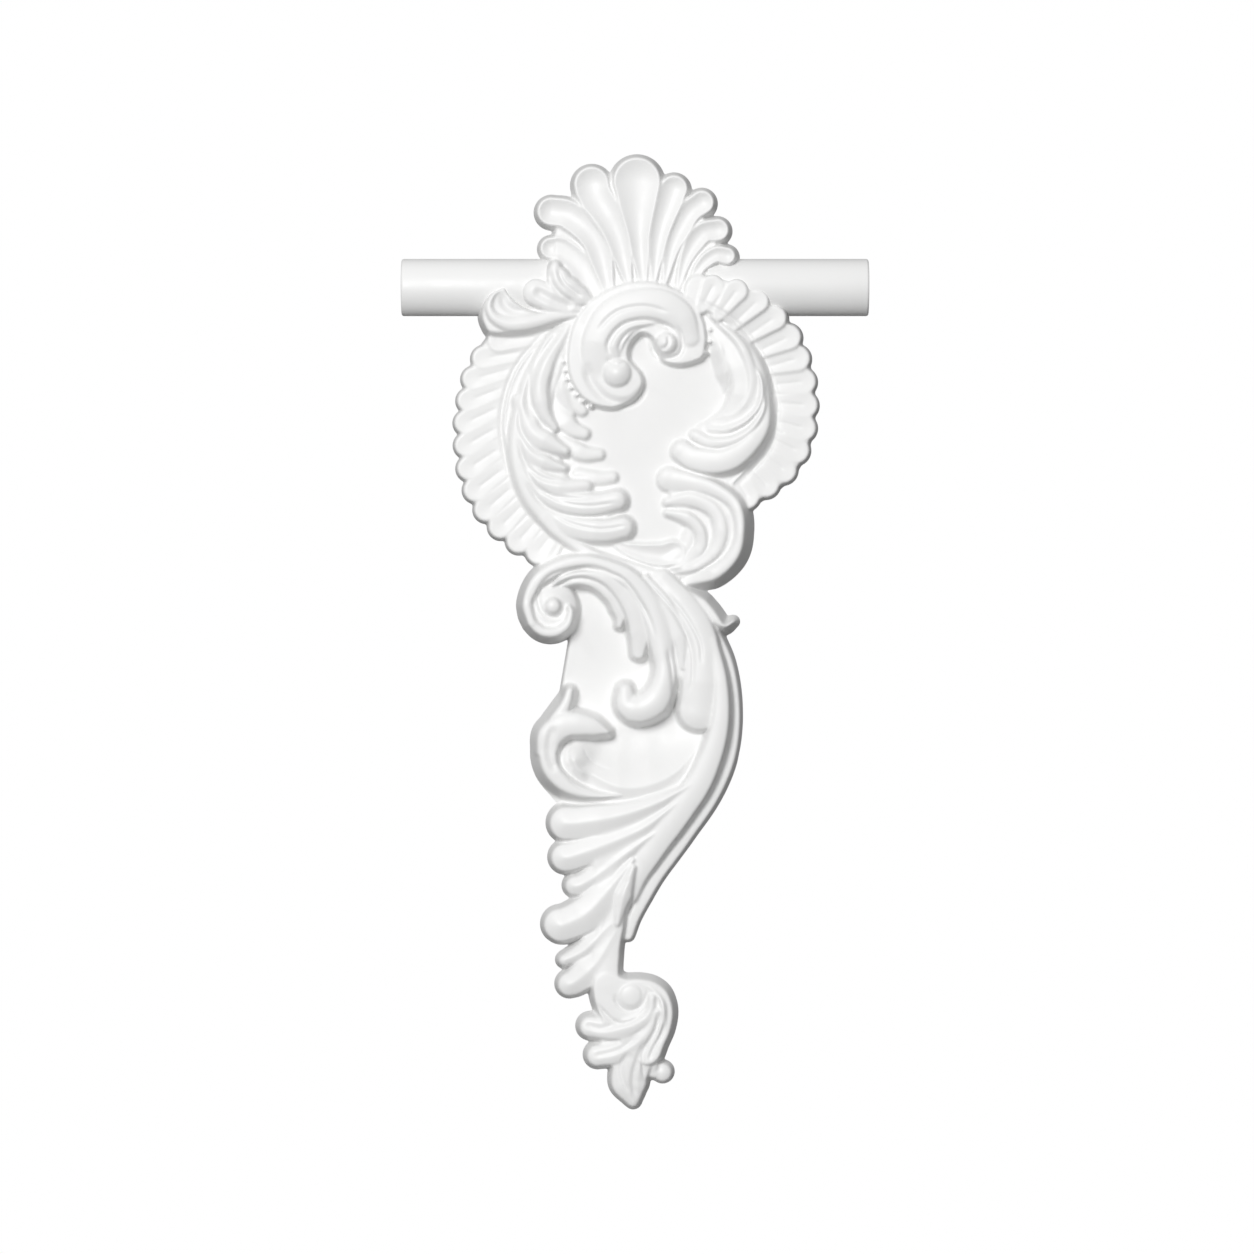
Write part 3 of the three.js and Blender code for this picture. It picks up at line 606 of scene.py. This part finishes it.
FINIAL_BODY = ([(-2, -376), (-4, -386), (-3, -400), (0, -418)], [13, 18, 16, 10], [11, 12, 12, 11])
FINIAL_LOBES = [
    (
        [(9, -386), (3, -398), (-3, -413), (-2, -422), (0, -431)],
        [5.5, 8, 11.5, 11, 4.5],
        [17, 16, 15, 13.5, 11],
    ),
    ([(12, -379), (5, -392), (-9, -400.5), (-27, -404)], [4.5, 7, 8, 7.5], [18, 17, 16, 14]),
    ([(9, -372), (6, -382), (-8, -388.5), (-31, -387)], [5, 6.5, 8, 7.5], [18, 18, 17, 15]),
]
HEAD = [
    (-4, -359.5), (4, -359.5), (12, -361.5), (18.5, -366.5), (22, -374), (22.8, -382), (21, -391),
    (18, -398), (14.5, -406), (8, -410), (0, -408), (-10, -396), (-18, -388), (-22, -380), (-24.5, -371),
    (-24, -362), (-16, -356),
]
HEAD_CROWN = (
    [(-8, -366), (0, -364.5), (8, -367), (14, -374), (14.5, -384), (10, -396), (5, -406)],
    [3, 4.5, 5.5, 6.5, 6.5, 5.5, 4],
    [14.5, 15.5, 17, 18.5, 18, 16.5, 14],
)
EYE = ((-2.2, -370.8), 7.6, 17)
BALL_NECK = ([(13, -396), (10, -404), (9.5, -411), (14, -414.5)], [3.5, 4, 4.6, 4.4], [15, 13.5, 12, 10.5])
BALL = ((14.5, -411.5), 6.4, 10.5)

# Lines cut into the finished forms: path, half width and depth

GROOVES = [
    ([(-20, -24), (-14, -17), (-8, -13), (0, -11), (7, -11), (13, -12.5), (18, -14)], 1.5, 1.0),
    (
        [
            (-13, -36), (-14, -31), (-11, -25), (-6, -20.5), (0, -18.5), (6, -18), (12, -19), (17, -21),
            (20, -25),
        ],
        2.0,
        2.6,
    ),
    ([(-8, -36), (-8, -31), (-5, -26), (0, -22.5), (6, -21.5)], 1.4, 1.6),
    ([(8, -28), (10, -34), (14, -37.5), (18, -38), (23, -36), (25, -31), (24, -25), (21, -21)], 1.6, 2.4),
    ([(13, -31.5), (15, -33), (17.5, -30), (17, -26)], 1.3, 1.6),
    ([(-15, -38), (-10, -41.5), (-5, -40)], 1.2, 1.4),
    ([(-25, -40), (-23.5, -49), (-17, -57.5), (-8, -61), (0, -59), (5.5, -52)], 3.6, 1.8),
    ([(-37, -20), (-44, -29), (-51, -40), (-55, -52), (-55.5, -62), (-53, -70)], 3.4, 2.6),
    ([(-36, -40), (-40, -50), (-42, -57), (-43, -65)], 1.4, 1.2),
    ([(-61, -62), (-59.5, -75), (-53, -85), (-44, -89), (-35, -91.5)], 1.7, 1.3),
    ([(-61, -80), (-57.5, -92), (-50, -99.5), (-40, -102), (-29, -101.5)], 1.7, 1.3),
    ([(-59, -92), (-52, -104), (-43, -109.5), (-30, -111), (-18, -109.5)], 1.6, 1.2),
    ([(-57, -103), (-48, -114), (-36, -119.5), (-22, -121), (-10, -118)], 1.7, 1.4),
    ([(-50, -104.5), (-40, -112), (-25, -114.8), (-9, -113)], 1.1, 1.0),
    ([(-44, -118.5), (-32, -124.5), (-18, -127), (-3, -125)], 1.1, 1.0),
    (
        [
            (-37, -163), (-37, -168.5), (-40, -172.8), (-44.5, -173), (-48.5, -170), (-50.4, -165),
            (-50.3, -160), (-48, -155.3), (-43.6, -151.2), (-37, -148.8), (-30, -147.6), (-24, -147),
            (-18, -148), (-12, -150.5), (-7, -153), (-2, -158), (2, -164), (6, -171), (9, -178),
            (11, -185),
        ],
        1.5,
        2.1,
    ),
    (
        [(5, -154), (12, -161), (19, -169), (24, -177), (28, -185), (30, -193), (30, -205), (28, -214)],
        1.3,
        1.2,
    ),
    ([(17, -161), (24, -169), (30, -178), (34, -187), (35, -198)], 1.2, 1.0),
    ([(17, -189), (19, -200), (20, -210), (21, -224)], 1.6, 1.8),
    ([(-30, -238.5), (-34, -241), (-35, -246), (-33, -253)], 1.2, 1.2),
    ([(-27, -240.5), (-25, -246), (-20, -250.5), (-12, -253.5)], 1.0, 0.7),
    ([(-42, -230), (-44.5, -238), (-44.5, -246), (-41, -254)], 3.4, 1.2),
    ([(-36, -256), (-31, -261), (-24, -264.5), (-15, -266)], 1.3, 1.0),
    ([(12, -378), (11, -388), (6, -397), (4, -405), (5, -416)], 1.5, 1.6),
    ([(15, -380), (14, -390), (10, -398), (7, -405)], 1.3, 1.2),
    ([(7, -372), (6, -377.5), (2, -382), (-4, -385), (-10, -385), (-16, -380), (-20, -375)], 1.6, 1.6),
    (
        [(-10.5, -370), (-9.5, -374.5), (-6, -378), (-1.5, -378.8), (3, -376.5), (6, -372), (6.5, -368)],
        1.5,
        1.5,
    ),
    ([(-27, -386), (-17, -388), (-6, -384.5)], 2.8, 1.1),
    ([(-23, -403), (-9, -399.5), (2, -392)], 2.4, 0.9),
    ([(-3, -309), (-8, -317), (-10, -328)], 1.2, 0.8),
    ([(6, -394), (1.5, -404), (-1, -414), (0, -426)], 2.4, 1.2),
    ([(-3, -400), (-7, -407), (-6.5, -415), (-3, -422)], 1.8, 0.9),
]


def carve_border(f, inner, outer, count, rise, bead, line):
    """A scalloped border with soft reeds, a bead on its inner side and a fine line beside the bead."""
    a, la = spline(inner, BORDER_POINTS)
    b, lb = spline(outer, BORDER_POINTS)
    last = BORDER_POINTS - 1
    level = np.asarray(rise)
    middle = (a + BED_SHARE * (b - a))[::BED_STRIDE]
    half = BED_SHARE * np.hypot(*(b - a).T)[::BED_STRIDE] + 0.2 * level.max()
    f.stroke(middle, half, level - 0.3, drop=0, ease=1.2)
    for i in range(count):
        k = int((i + 0.5) / count * last)
        root = a[k]
        tip = b[k] - BORDER_TRIM * (b[k] - a[k]) / np.hypot(*(b[k] - a[k]))
        root_half = 0.5 * la / count
        tip_half = 0.54 * lb / count
        top = along(rise, k / last)
        wide = [root_half, (root_half + tip_half) / 2, tip_half]
        path = [root, (root + tip) / 2, tip]
        f.flute(path, wide, [top, top + 0.2, top + 0.2], 0.3, lip=1.4, ease=1.6, blend=0.3, wall=8, foot=6)
        f.groove([root + 0.1 * (tip - root), root + 0.7 * (tip - root)], 1.3, 0.4)
    f.stroke(offset(inner, bead), [2.2, 2.2], np.clip(level + 0.5, 11.8, 16.5), drop=1.2, ease=1.0)
    f.groove([tuple(p) for p in offset(inner, line)], 1.5, 1.3)


def carve_oval(f):
    """The plate, its higher field and both scalloped borders."""
    f.plate(OVAL, OVAL_DEPTH)
    f.plate(FIELD, FIELD_DEPTH, wall=SLOPE)
    f.stroke(*SHOULDER, drop=0.6, ease=3, wall=SLOPE)
    for border in BORDERS:
        carve_border(f, **border)


def carve_shell(f):
    """The shell, the leaves on its left and the mounds over the roots of the rail."""
    for path, wide, deep in RAIL_ROOTS:
        f.stroke(path, wide, deep, drop=7)
    f.plate(SHELL_BACK, SHELL_BACK_DEPTH)
    for path, wide, deep in SHELL:
        f.flute(path, wide, deep, 3.4)
    f.plate(LEAF_BACK, LEAF_BACK_DEPTH, wall=SLOPE)
    f.plate(LEAF_A, LEAF_A_DEPTH, wall=6.0, foot=7)
    for path, wide, deep in SIDE_LEAVES:
        f.stroke(path, wide, deep, drop=3.0, ease=2.2, wall=5.0, foot=9.5)
    for path, wide, deep in LEAF_CUPS:
        f.groove(path, wide, deep)


def carve_acanthus(f):
    """The long leaf on the left of the field and the turned one on its right."""
    f.stroke(*LEFT_BODY, drop=1, wall=SLOPE, foot=4, ease=3)
    f.stroke(*LEFT_STEM, drop=1.6, wall=SLOPE, foot=6, ease=3, blend=1.5)
    for path, wide, deep in LEFT_LOBES:
        f.stroke(path, wide, deep, drop=3.0, power=1.6, tilt=-0.7, ease=2.6, wall=3.2, foot=6, blend=1.0)
    for path, wide, deep in DROPS:
        f.stroke(path, wide, deep, drop=1.2, ease=2.2, wall=3.0, foot=7)
    f.stroke(*RIGHT_BODY, drop=2, wall=SLOPE, foot=4, ease=3)
    f.stroke(*RIGHT_FACE, drop=1.5, wall=1.2, ease=4)
    for path, wide, deep in RIGHT_RIBS:
        f.stroke(path, wide, deep, drop=2.2, tilt=0.5, ease=2.2, wall=3.4, foot=5)


def carve_hook(f):
    """The hooked scroll and the band that runs into it."""
    f.flute(*SCOOP, 2.4, lip=2.2, wall=3, foot=5)
    f.stroke(*FOOT_BAND, drop=2, ease=2, wall=3.4, foot=5)
    f.plate(HOOK_BACK, HOOK_BACK_DEPTH, wall=3.0)
    f.stroke(*HOOK_BODY, drop=1.5, wall=3.0, ease=3)
    for path, wide, deep in HOOK_RIBS:
        f.stroke(path, wide, deep, drop=2.6, tilt=-0.8, ease=2.4, wall=3.6, foot=4)


def carve_c_scroll(f):
    """The C scroll with its rim, its two buds and the small steps outside the rim."""
    f.plate(C_BODY, C_BODY_DEPTH, wall=7, foot=6)
    f.stroke(*C_CROWN, drop=3.2, ease=3)
    f.stroke(C_RIM, [2, 2], [20, 20.4, 20.4, 20], drop=1.0, ease=0.9)
    for centre, radius, deep in C_BUDS:
        f.boss(centre, radius, deep, dome=0.75, ease=2.0, wall=6)
    f.stroke(C_LIP, [1.9, 1.9], [20.5, 20, 19.8, 19.3], drop=1.0, ease=0.9)
    for path, count in C_BURRS:
        for centre in spline(path, count)[0]:
            f.boss(centre, 2.2, 17, ease=1.5, wall=12)


def carve_lower_scroll(f):
    """The volute with its bands and curled ends, the bowl leaf and the outer stem."""
    f.plate(LOW_PLATE, LOW_PLATE_DEPTH)
    f.stroke(*LEDGE, drop=0.6, ease=1.2)
    f.stroke(*BOWL, drop=0, wall=0.55, ease=4, blend=5)
    f.stroke(*BOWL_FLOOR, drop=0, wall=1.1, ease=4, blend=4)
    f.stroke(*BOWL_SIDE, drop=0, wall=0.85, ease=4, blend=3)
    f.stroke(*BOWL_RIM, drop=2.6, ease=3, wall=3.6)
    f.stroke(*FINGER, drop=2.4, ease=2.4, foot=3)
    f.stroke(*BEAK, drop=2.8, ease=2.6, wall=4.5, foot=5)
    f.stroke(*RIB, drop=2.2, ease=3, wall=4.5, foot=5)
    f.stroke(*CURL_BODY, drop=0.5, wall=1.6, ease=3)
    f.stroke(*CURL_RIGHT, drop=4.2, ease=3, wall=5, foot=3)
    f.stroke(*CURL_LEFT, drop=4.8, ease=3, wall=5, foot=3)
    for path, wide, deep in BANDS:
        f.stroke(path, wide, deep, drop=2.2, ease=2, blend=0.8)
    f.boss(*VOLUTE, ease=2.5)
    f.stroke(*VOLUTE_RING, drop=3, ease=2.5, blend=1.5)
    f.boss(*VOLUTE_EYE, dome=0.6, ease=2, wall=6)
    f.stroke(*HORN, drop=2.4, tilt=-1, ease=2.4, wall=3.6)


def carve_stem(f):
    """The lobes down the left of the stem."""
    f.stroke(*STEM_BODY, drop=0, wall=1.3, ease=3)
    f.stroke(*NECK, drop=1.2, ease=2, foot=2, blend=2)
    for path, wide, deep in STEM_LOBES:
        f.stroke(path, wide, deep, drop=4.2, power=1.3, tilt=0.3, ease=1.6, blend=0.8)


def carve_finial(f):
    """The curled head, its hanging lobes and the ball."""
    f.stroke(*FINIAL_BODY, drop=0)
    for path, wide, deep in FINIAL_LOBES:
        f.stroke(path, wide, deep, drop=3.2, power=1.6, ease=2.4, wall=5, foot=2, blend=0.8)
    f.plate(HEAD, HEAD_DEPTH, wall=5)
    f.stroke(*HEAD_CROWN, drop=2.2, ease=3, wall=3.2, blend=2.0)
    f.boss(*EYE, dome=0.15, ease=2, blend=1.2, wall=8)
    f.stroke(*BALL_NECK, blend=1.2)
    f.boss(*BALL)


def carve():
    """All of the relief, softened a little at the end."""
    f = Relief()
    carve_oval(f)
    carve_shell(f)
    carve_acanthus(f)
    carve_hook(f)
    carve_c_scroll(f)
    carve_lower_scroll(f)
    carve_stem(f)
    carve_finial(f)
    for path, wide, deep in GROOVES:
        f.groove(path, wide, deep)
    f.depth = blurred(f.depth, SOFTENING / GRID_STEP)
    return f


# Mesh


def relief_mesh(relief):
    """A grid displaced to the relief, thinned, and cut off flat on the wall plane."""
    nx, nz = len(relief.x), len(relief.z)
    bm = bmesh.new()
    bmesh.ops.create_grid(bm, x_segments=nx - 1, y_segments=nz - 1, size=1)
    mesh = bpy.data.meshes.new("relief_grid")
    bm.to_mesh(mesh)
    bm.free()
    flat = np.empty(3 * len(mesh.vertices))
    mesh.vertices.foreach_get("co", flat)
    flat = flat.reshape(-1, 3)
    column = np.rint((flat[:, 0] + 1) / 2 * (nx - 1)).astype(int)
    row = np.rint((flat[:, 1] + 1) / 2 * (nz - 1)).astype(int)
    placed = np.c_[relief.x[column], -relief.depth[row, column], relief.z[row]] * MM
    mesh.vertices.foreach_set("co", placed.ravel())
    bm = bmesh.new()
    bm.from_mesh(mesh)
    away = [v for v in bm.verts if v.co.y > AWAY * MM]
    bmesh.ops.delete(bm, geom=away, context="VERTS")
    bm.to_mesh(mesh)
    bm.free()
    draft = bpy.data.objects.new("relief_draft", mesh)
    bpy.context.scene.collection.objects.link(draft)
    thin = draft.modifiers.new("thin", "DECIMATE")
    thin.ratio = THINNING
    thinned = draft.evaluated_get(bpy.context.evaluated_depsgraph_get())
    bm = bmesh.new()
    bm.from_mesh(thinned.to_mesh())
    bpy.data.objects.remove(draft)
    bpy.data.meshes.remove(mesh)
    cut = bmesh.ops.bisect_plane(
        bm,
        geom=bm.verts[:] + bm.edges[:] + bm.faces[:],
        plane_co=(0, 0, 0),
        plane_no=(0, 1, 0),
        clear_outer=True,
    )
    for face in bm.faces:
        face.smooth = True
    rim = [e for e in cut["geom_cut"] if isinstance(e, bmesh.types.BMEdge)]
    bmesh.ops.triangle_fill(bm, edges=rim, use_beauty=True, normal=(0, 1, 0))
    for edge in rim:
        edge.smooth = False
    bmesh.ops.recalc_face_normals(bm, faces=bm.faces)
    return bm


def add_rail_end(bm, side):
    """One end of the half-round rail, square at its tip, with its root buried in the carving."""
    tip = side * RAIL_LENGTH / 2
    root = side * RAIL_GAP / 2
    half = RAIL_WIDTH / 2
    ring = []
    for i in range(RAIL_SEGMENTS + 1):
        angle = math.pi * i / RAIL_SEGMENTS
        out = max(RAIL_DEPTH * math.sin(angle), RAIL_INSET)
        ring.append(bm.verts.new(Vector((root, -out, half * math.cos(angle))) * MM))
    face = bm.faces.new(ring)
    grown = bmesh.ops.extrude_face_region(bm, geom=[face])["geom"]
    end = next(g for g in grown if isinstance(g, bmesh.types.BMFace))
    bmesh.ops.translate(bm, verts=end.verts, vec=((tip - root) * MM, 0, 0))
    arris = [e for e in end.edges if any(v.co.y < -2 * RAIL_INSET * MM for v in e.verts)]
    bmesh.ops.bevel(
        bm,
        geom=arris,
        offset=RAIL_EDGE * MM,
        segments=3,
        profile=0.5,
        affect="EDGES",
        material=-1,
        clamp_overlap=True,
    )


def applique():
    """The casting as one object, in place of its faceted solid."""
    bm = relief_mesh(carve())
    stubs = bmesh.new()
    for side in (-1, 1):
        add_rail_end(stubs, side)
    bmesh.ops.recalc_face_normals(stubs, faces=stubs.faces)
    for face in stubs.faces:
        face.smooth = abs(face.normal.x) < 0.9 and abs(face.normal.y - 1) > 0.01
    rail = bpy.data.meshes.new("rail_ends")
    stubs.to_mesh(rail)
    stubs.free()
    bm.from_mesh(rail)
    bpy.data.meshes.remove(rail)
    mesh = bpy.data.meshes.new("applique_casting")
    bm.to_mesh(mesh)
    bm.free()
    obj = bpy.data.objects.new("applique_casting", mesh)
    bpy.context.scene.collection.objects.link(obj)
    return obj


# Material


def group_of(name, inputs, outputs):
    """An empty shader node group with its sockets."""
    tree = bpy.data.node_groups.new(name, "ShaderNodeTree")
    for socket, kind, value in inputs:
        made = tree.interface.new_socket(socket, in_out="INPUT", socket_type=kind)
        made.default_value = value
    for socket, kind in outputs:
        tree.interface.new_socket(socket, in_out="OUTPUT", socket_type=kind)
    return tree, tree.nodes.new("NodeGroupInput"), tree.nodes.new("NodeGroupOutput")


def paint_group():
    """Sprayed white primer over a casting: faint clouding, uneven sheen and a fine pebble."""
    tree, given, result = group_of(
        "sprayed_paint",
        [("Colour", "NodeSocketColor", (0.8, 0.8, 0.8, 1)), ("Sheen", "NodeSocketFloat", 0.4)],
        [("Base Color", "NodeSocketColor"), ("Roughness", "NodeSocketFloat"), ("Height", "NodeSocketFloat")],
    )
    place = tree.nodes.new("ShaderNodeTexCoord")

    def noise(scale, detail):
        node = tree.nodes.new("ShaderNodeTexNoise")
        node.inputs["Scale"].default_value = scale
        node.inputs["Detail"].default_value = detail
        tree.links.new(place.outputs["Object"], node.inputs["Vector"])
        return node.outputs["Fac"]

    def mapped(value, low, high):
        node = tree.nodes.new("ShaderNodeMapRange")
        node.inputs["From Min"].default_value = 0.3
        node.inputs["From Max"].default_value = 0.7
        node.inputs["To Min"].default_value = low
        node.inputs["To Max"].default_value = high
        tree.links.new(value, node.inputs["Value"])
        return node.outputs["Result"]

    cloud = noise(14, 3)
    pebble = noise(900, 2)
    fleck = noise(160, 4)
    tone = tree.nodes.new("ShaderNodeVectorMath")
    tone.operation = "SCALE"
    tree.links.new(given.outputs["Colour"], tone.inputs[0])
    tree.links.new(mapped(cloud, 0.975, 1.0), tone.inputs["Scale"])
    tree.links.new(tone.outputs["Vector"], result.inputs["Base Color"])
    rough = tree.nodes.new("ShaderNodeMath")
    rough.operation = "ADD"
    tree.links.new(given.outputs["Sheen"], rough.inputs[0])
    tree.links.new(mapped(fleck, -0.05, 0.06), rough.inputs[1])
    tree.links.new(rough.outputs["Value"], result.inputs["Roughness"])
    tree.links.new(pebble, result.inputs["Height"])
    return tree


def painted_casting():
    """Satin white paint over the whole casting."""
    material = bpy.data.materials.new("painted_casting")
    material.use_nodes = True
    tree = material.node_tree
    shader = tree.nodes["Principled BSDF"]
    shader.inputs["IOR"].default_value = 1.45
    shader.inputs["Specular IOR Level"].default_value = 0.4
    paint = tree.nodes.new("ShaderNodeGroup")
    paint.node_tree = paint_group()
    paint.inputs["Colour"].default_value = (*PAINT, 1)
    paint.inputs["Sheen"].default_value = PAINT_ROUGHNESS
    bump = tree.nodes.new("ShaderNodeBump")
    bump.inputs["Strength"].default_value = 0.12
    bump.inputs["Distance"].default_value = 0.00012
    tree.links.new(paint.outputs["Height"], bump.inputs["Height"])
    tree.links.new(bump.outputs["Normal"], shader.inputs["Normal"])
    tree.links.new(paint.outputs["Base Color"], shader.inputs["Base Color"])
    tree.links.new(paint.outputs["Roughness"], shader.inputs["Roughness"])
    return material


# Studio


def floor():
    """A small pale floor well below the ornament."""
    bm = bmesh.new()
    bmesh.ops.create_grid(bm, x_segments=1, y_segments=1, size=FLOOR_SIZE / 2)
    bmesh.ops.translate(bm, verts=bm.verts, vec=(0, 0, FLOOR_HEIGHT))
    mesh = bpy.data.meshes.new("floor")
    bm.to_mesh(mesh)
    bm.free()
    obj = bpy.data.objects.new("floor", mesh)
    material = bpy.data.materials.new("floor_paint")
    material.use_nodes = True
    tree = material.node_tree
    shader = tree.nodes["Principled BSDF"]
    shader.inputs["Roughness"].default_value = 0.9
    grain = tree.nodes.new("ShaderNodeTexNoise")
    grain.inputs["Scale"].default_value = 6
    place = tree.nodes.new("ShaderNodeTexCoord")
    tree.links.new(place.outputs["Object"], grain.inputs["Vector"])
    ramp = tree.nodes.new("ShaderNodeValToRGB")
    ramp.color_ramp.elements[0].color = (0.78, 0.78, 0.78, 1)
    ramp.color_ramp.elements[1].color = (0.84, 0.84, 0.84, 1)
    tree.links.new(grain.outputs["Fac"], ramp.inputs["Fac"])
    tree.links.new(ramp.outputs["Color"], shader.inputs["Base Color"])
    mesh.materials.append(material)
    bpy.context.scene.collection.objects.link(obj)


def sky():
    """Soft light, stronger from above, in front of a white ground."""
    world = bpy.data.worlds.new("studio")
    bpy.context.scene.world = world
    world.use_nodes = True
    tree = world.node_tree
    tree.nodes.clear()
    place = tree.nodes.new("ShaderNodeTexCoord")
    split = tree.nodes.new("ShaderNodeSeparateXYZ")
    tree.links.new(place.outputs["Generated"], split.inputs["Vector"])
    shade = tree.nodes.new("ShaderNodeMath")
    shade.operation = "MULTIPLY_ADD"
    shade.use_clamp = True
    shade.inputs[1].default_value = SKY_SLOPE
    shade.inputs[2].default_value = SKY_LEVEL
    tree.links.new(split.outputs["Z"], shade.inputs[0])
    light = tree.nodes.new("ShaderNodeBackground")
    tree.links.new(shade.outputs["Value"], light.inputs["Color"])
    ground = tree.nodes.new("ShaderNodeBackground")
    ground.inputs["Color"].default_value = (1, 1, 1, 1)
    ray = tree.nodes.new("ShaderNodeLightPath")
    mix = tree.nodes.new("ShaderNodeMixShader")
    tree.links.new(ray.outputs["Is Camera Ray"], mix.inputs["Fac"])
    tree.links.new(light.outputs["Background"], mix.inputs[1])
    tree.links.new(ground.outputs["Background"], mix.inputs[2])
    out = tree.nodes.new("ShaderNodeOutputWorld")
    tree.links.new(mix.outputs["Shader"], out.inputs["Surface"])


def key_light():
    """A broad soft light from the front, a little above and to the left."""
    lamp = bpy.data.lights.new("key", "AREA")
    lamp.shape = "DISK"
    lamp.size = KEY_SIZE
    lamp.energy = KEY_POWER
    obj = bpy.data.objects.new("key", lamp)
    aim = Vector(AIM)
    obj.location = aim + Vector(KEY_FROM)
    obj.rotation_euler = (aim - obj.location).to_track_quat("-Z", "Y").to_euler()
    bpy.context.scene.collection.objects.link(obj)


def camera():
    """A long lens straight in front, with the photograph's framing."""
    lens = bpy.data.cameras.new("camera")
    lens.sensor_width = SENSOR
    lens.lens = SENSOR * CAMERA_DISTANCE / FRAME_WIDTH
    lens.clip_end = 20
    obj = bpy.data.objects.new("camera", lens)
    obj.location = Vector(AIM) - Vector((0, CAMERA_DISTANCE, 0))
    obj.rotation_euler = (math.radians(90), 0, 0)
    bpy.context.scene.collection.objects.link(obj)
    bpy.context.scene.camera = obj


casting = applique()
casting.data.materials.append(painted_casting())
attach(casting, "root")
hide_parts("scroll_applique")
floor()
sky()
key_light()
camera()

scene = bpy.context.scene
scene.view_settings.view_transform = "Standard"
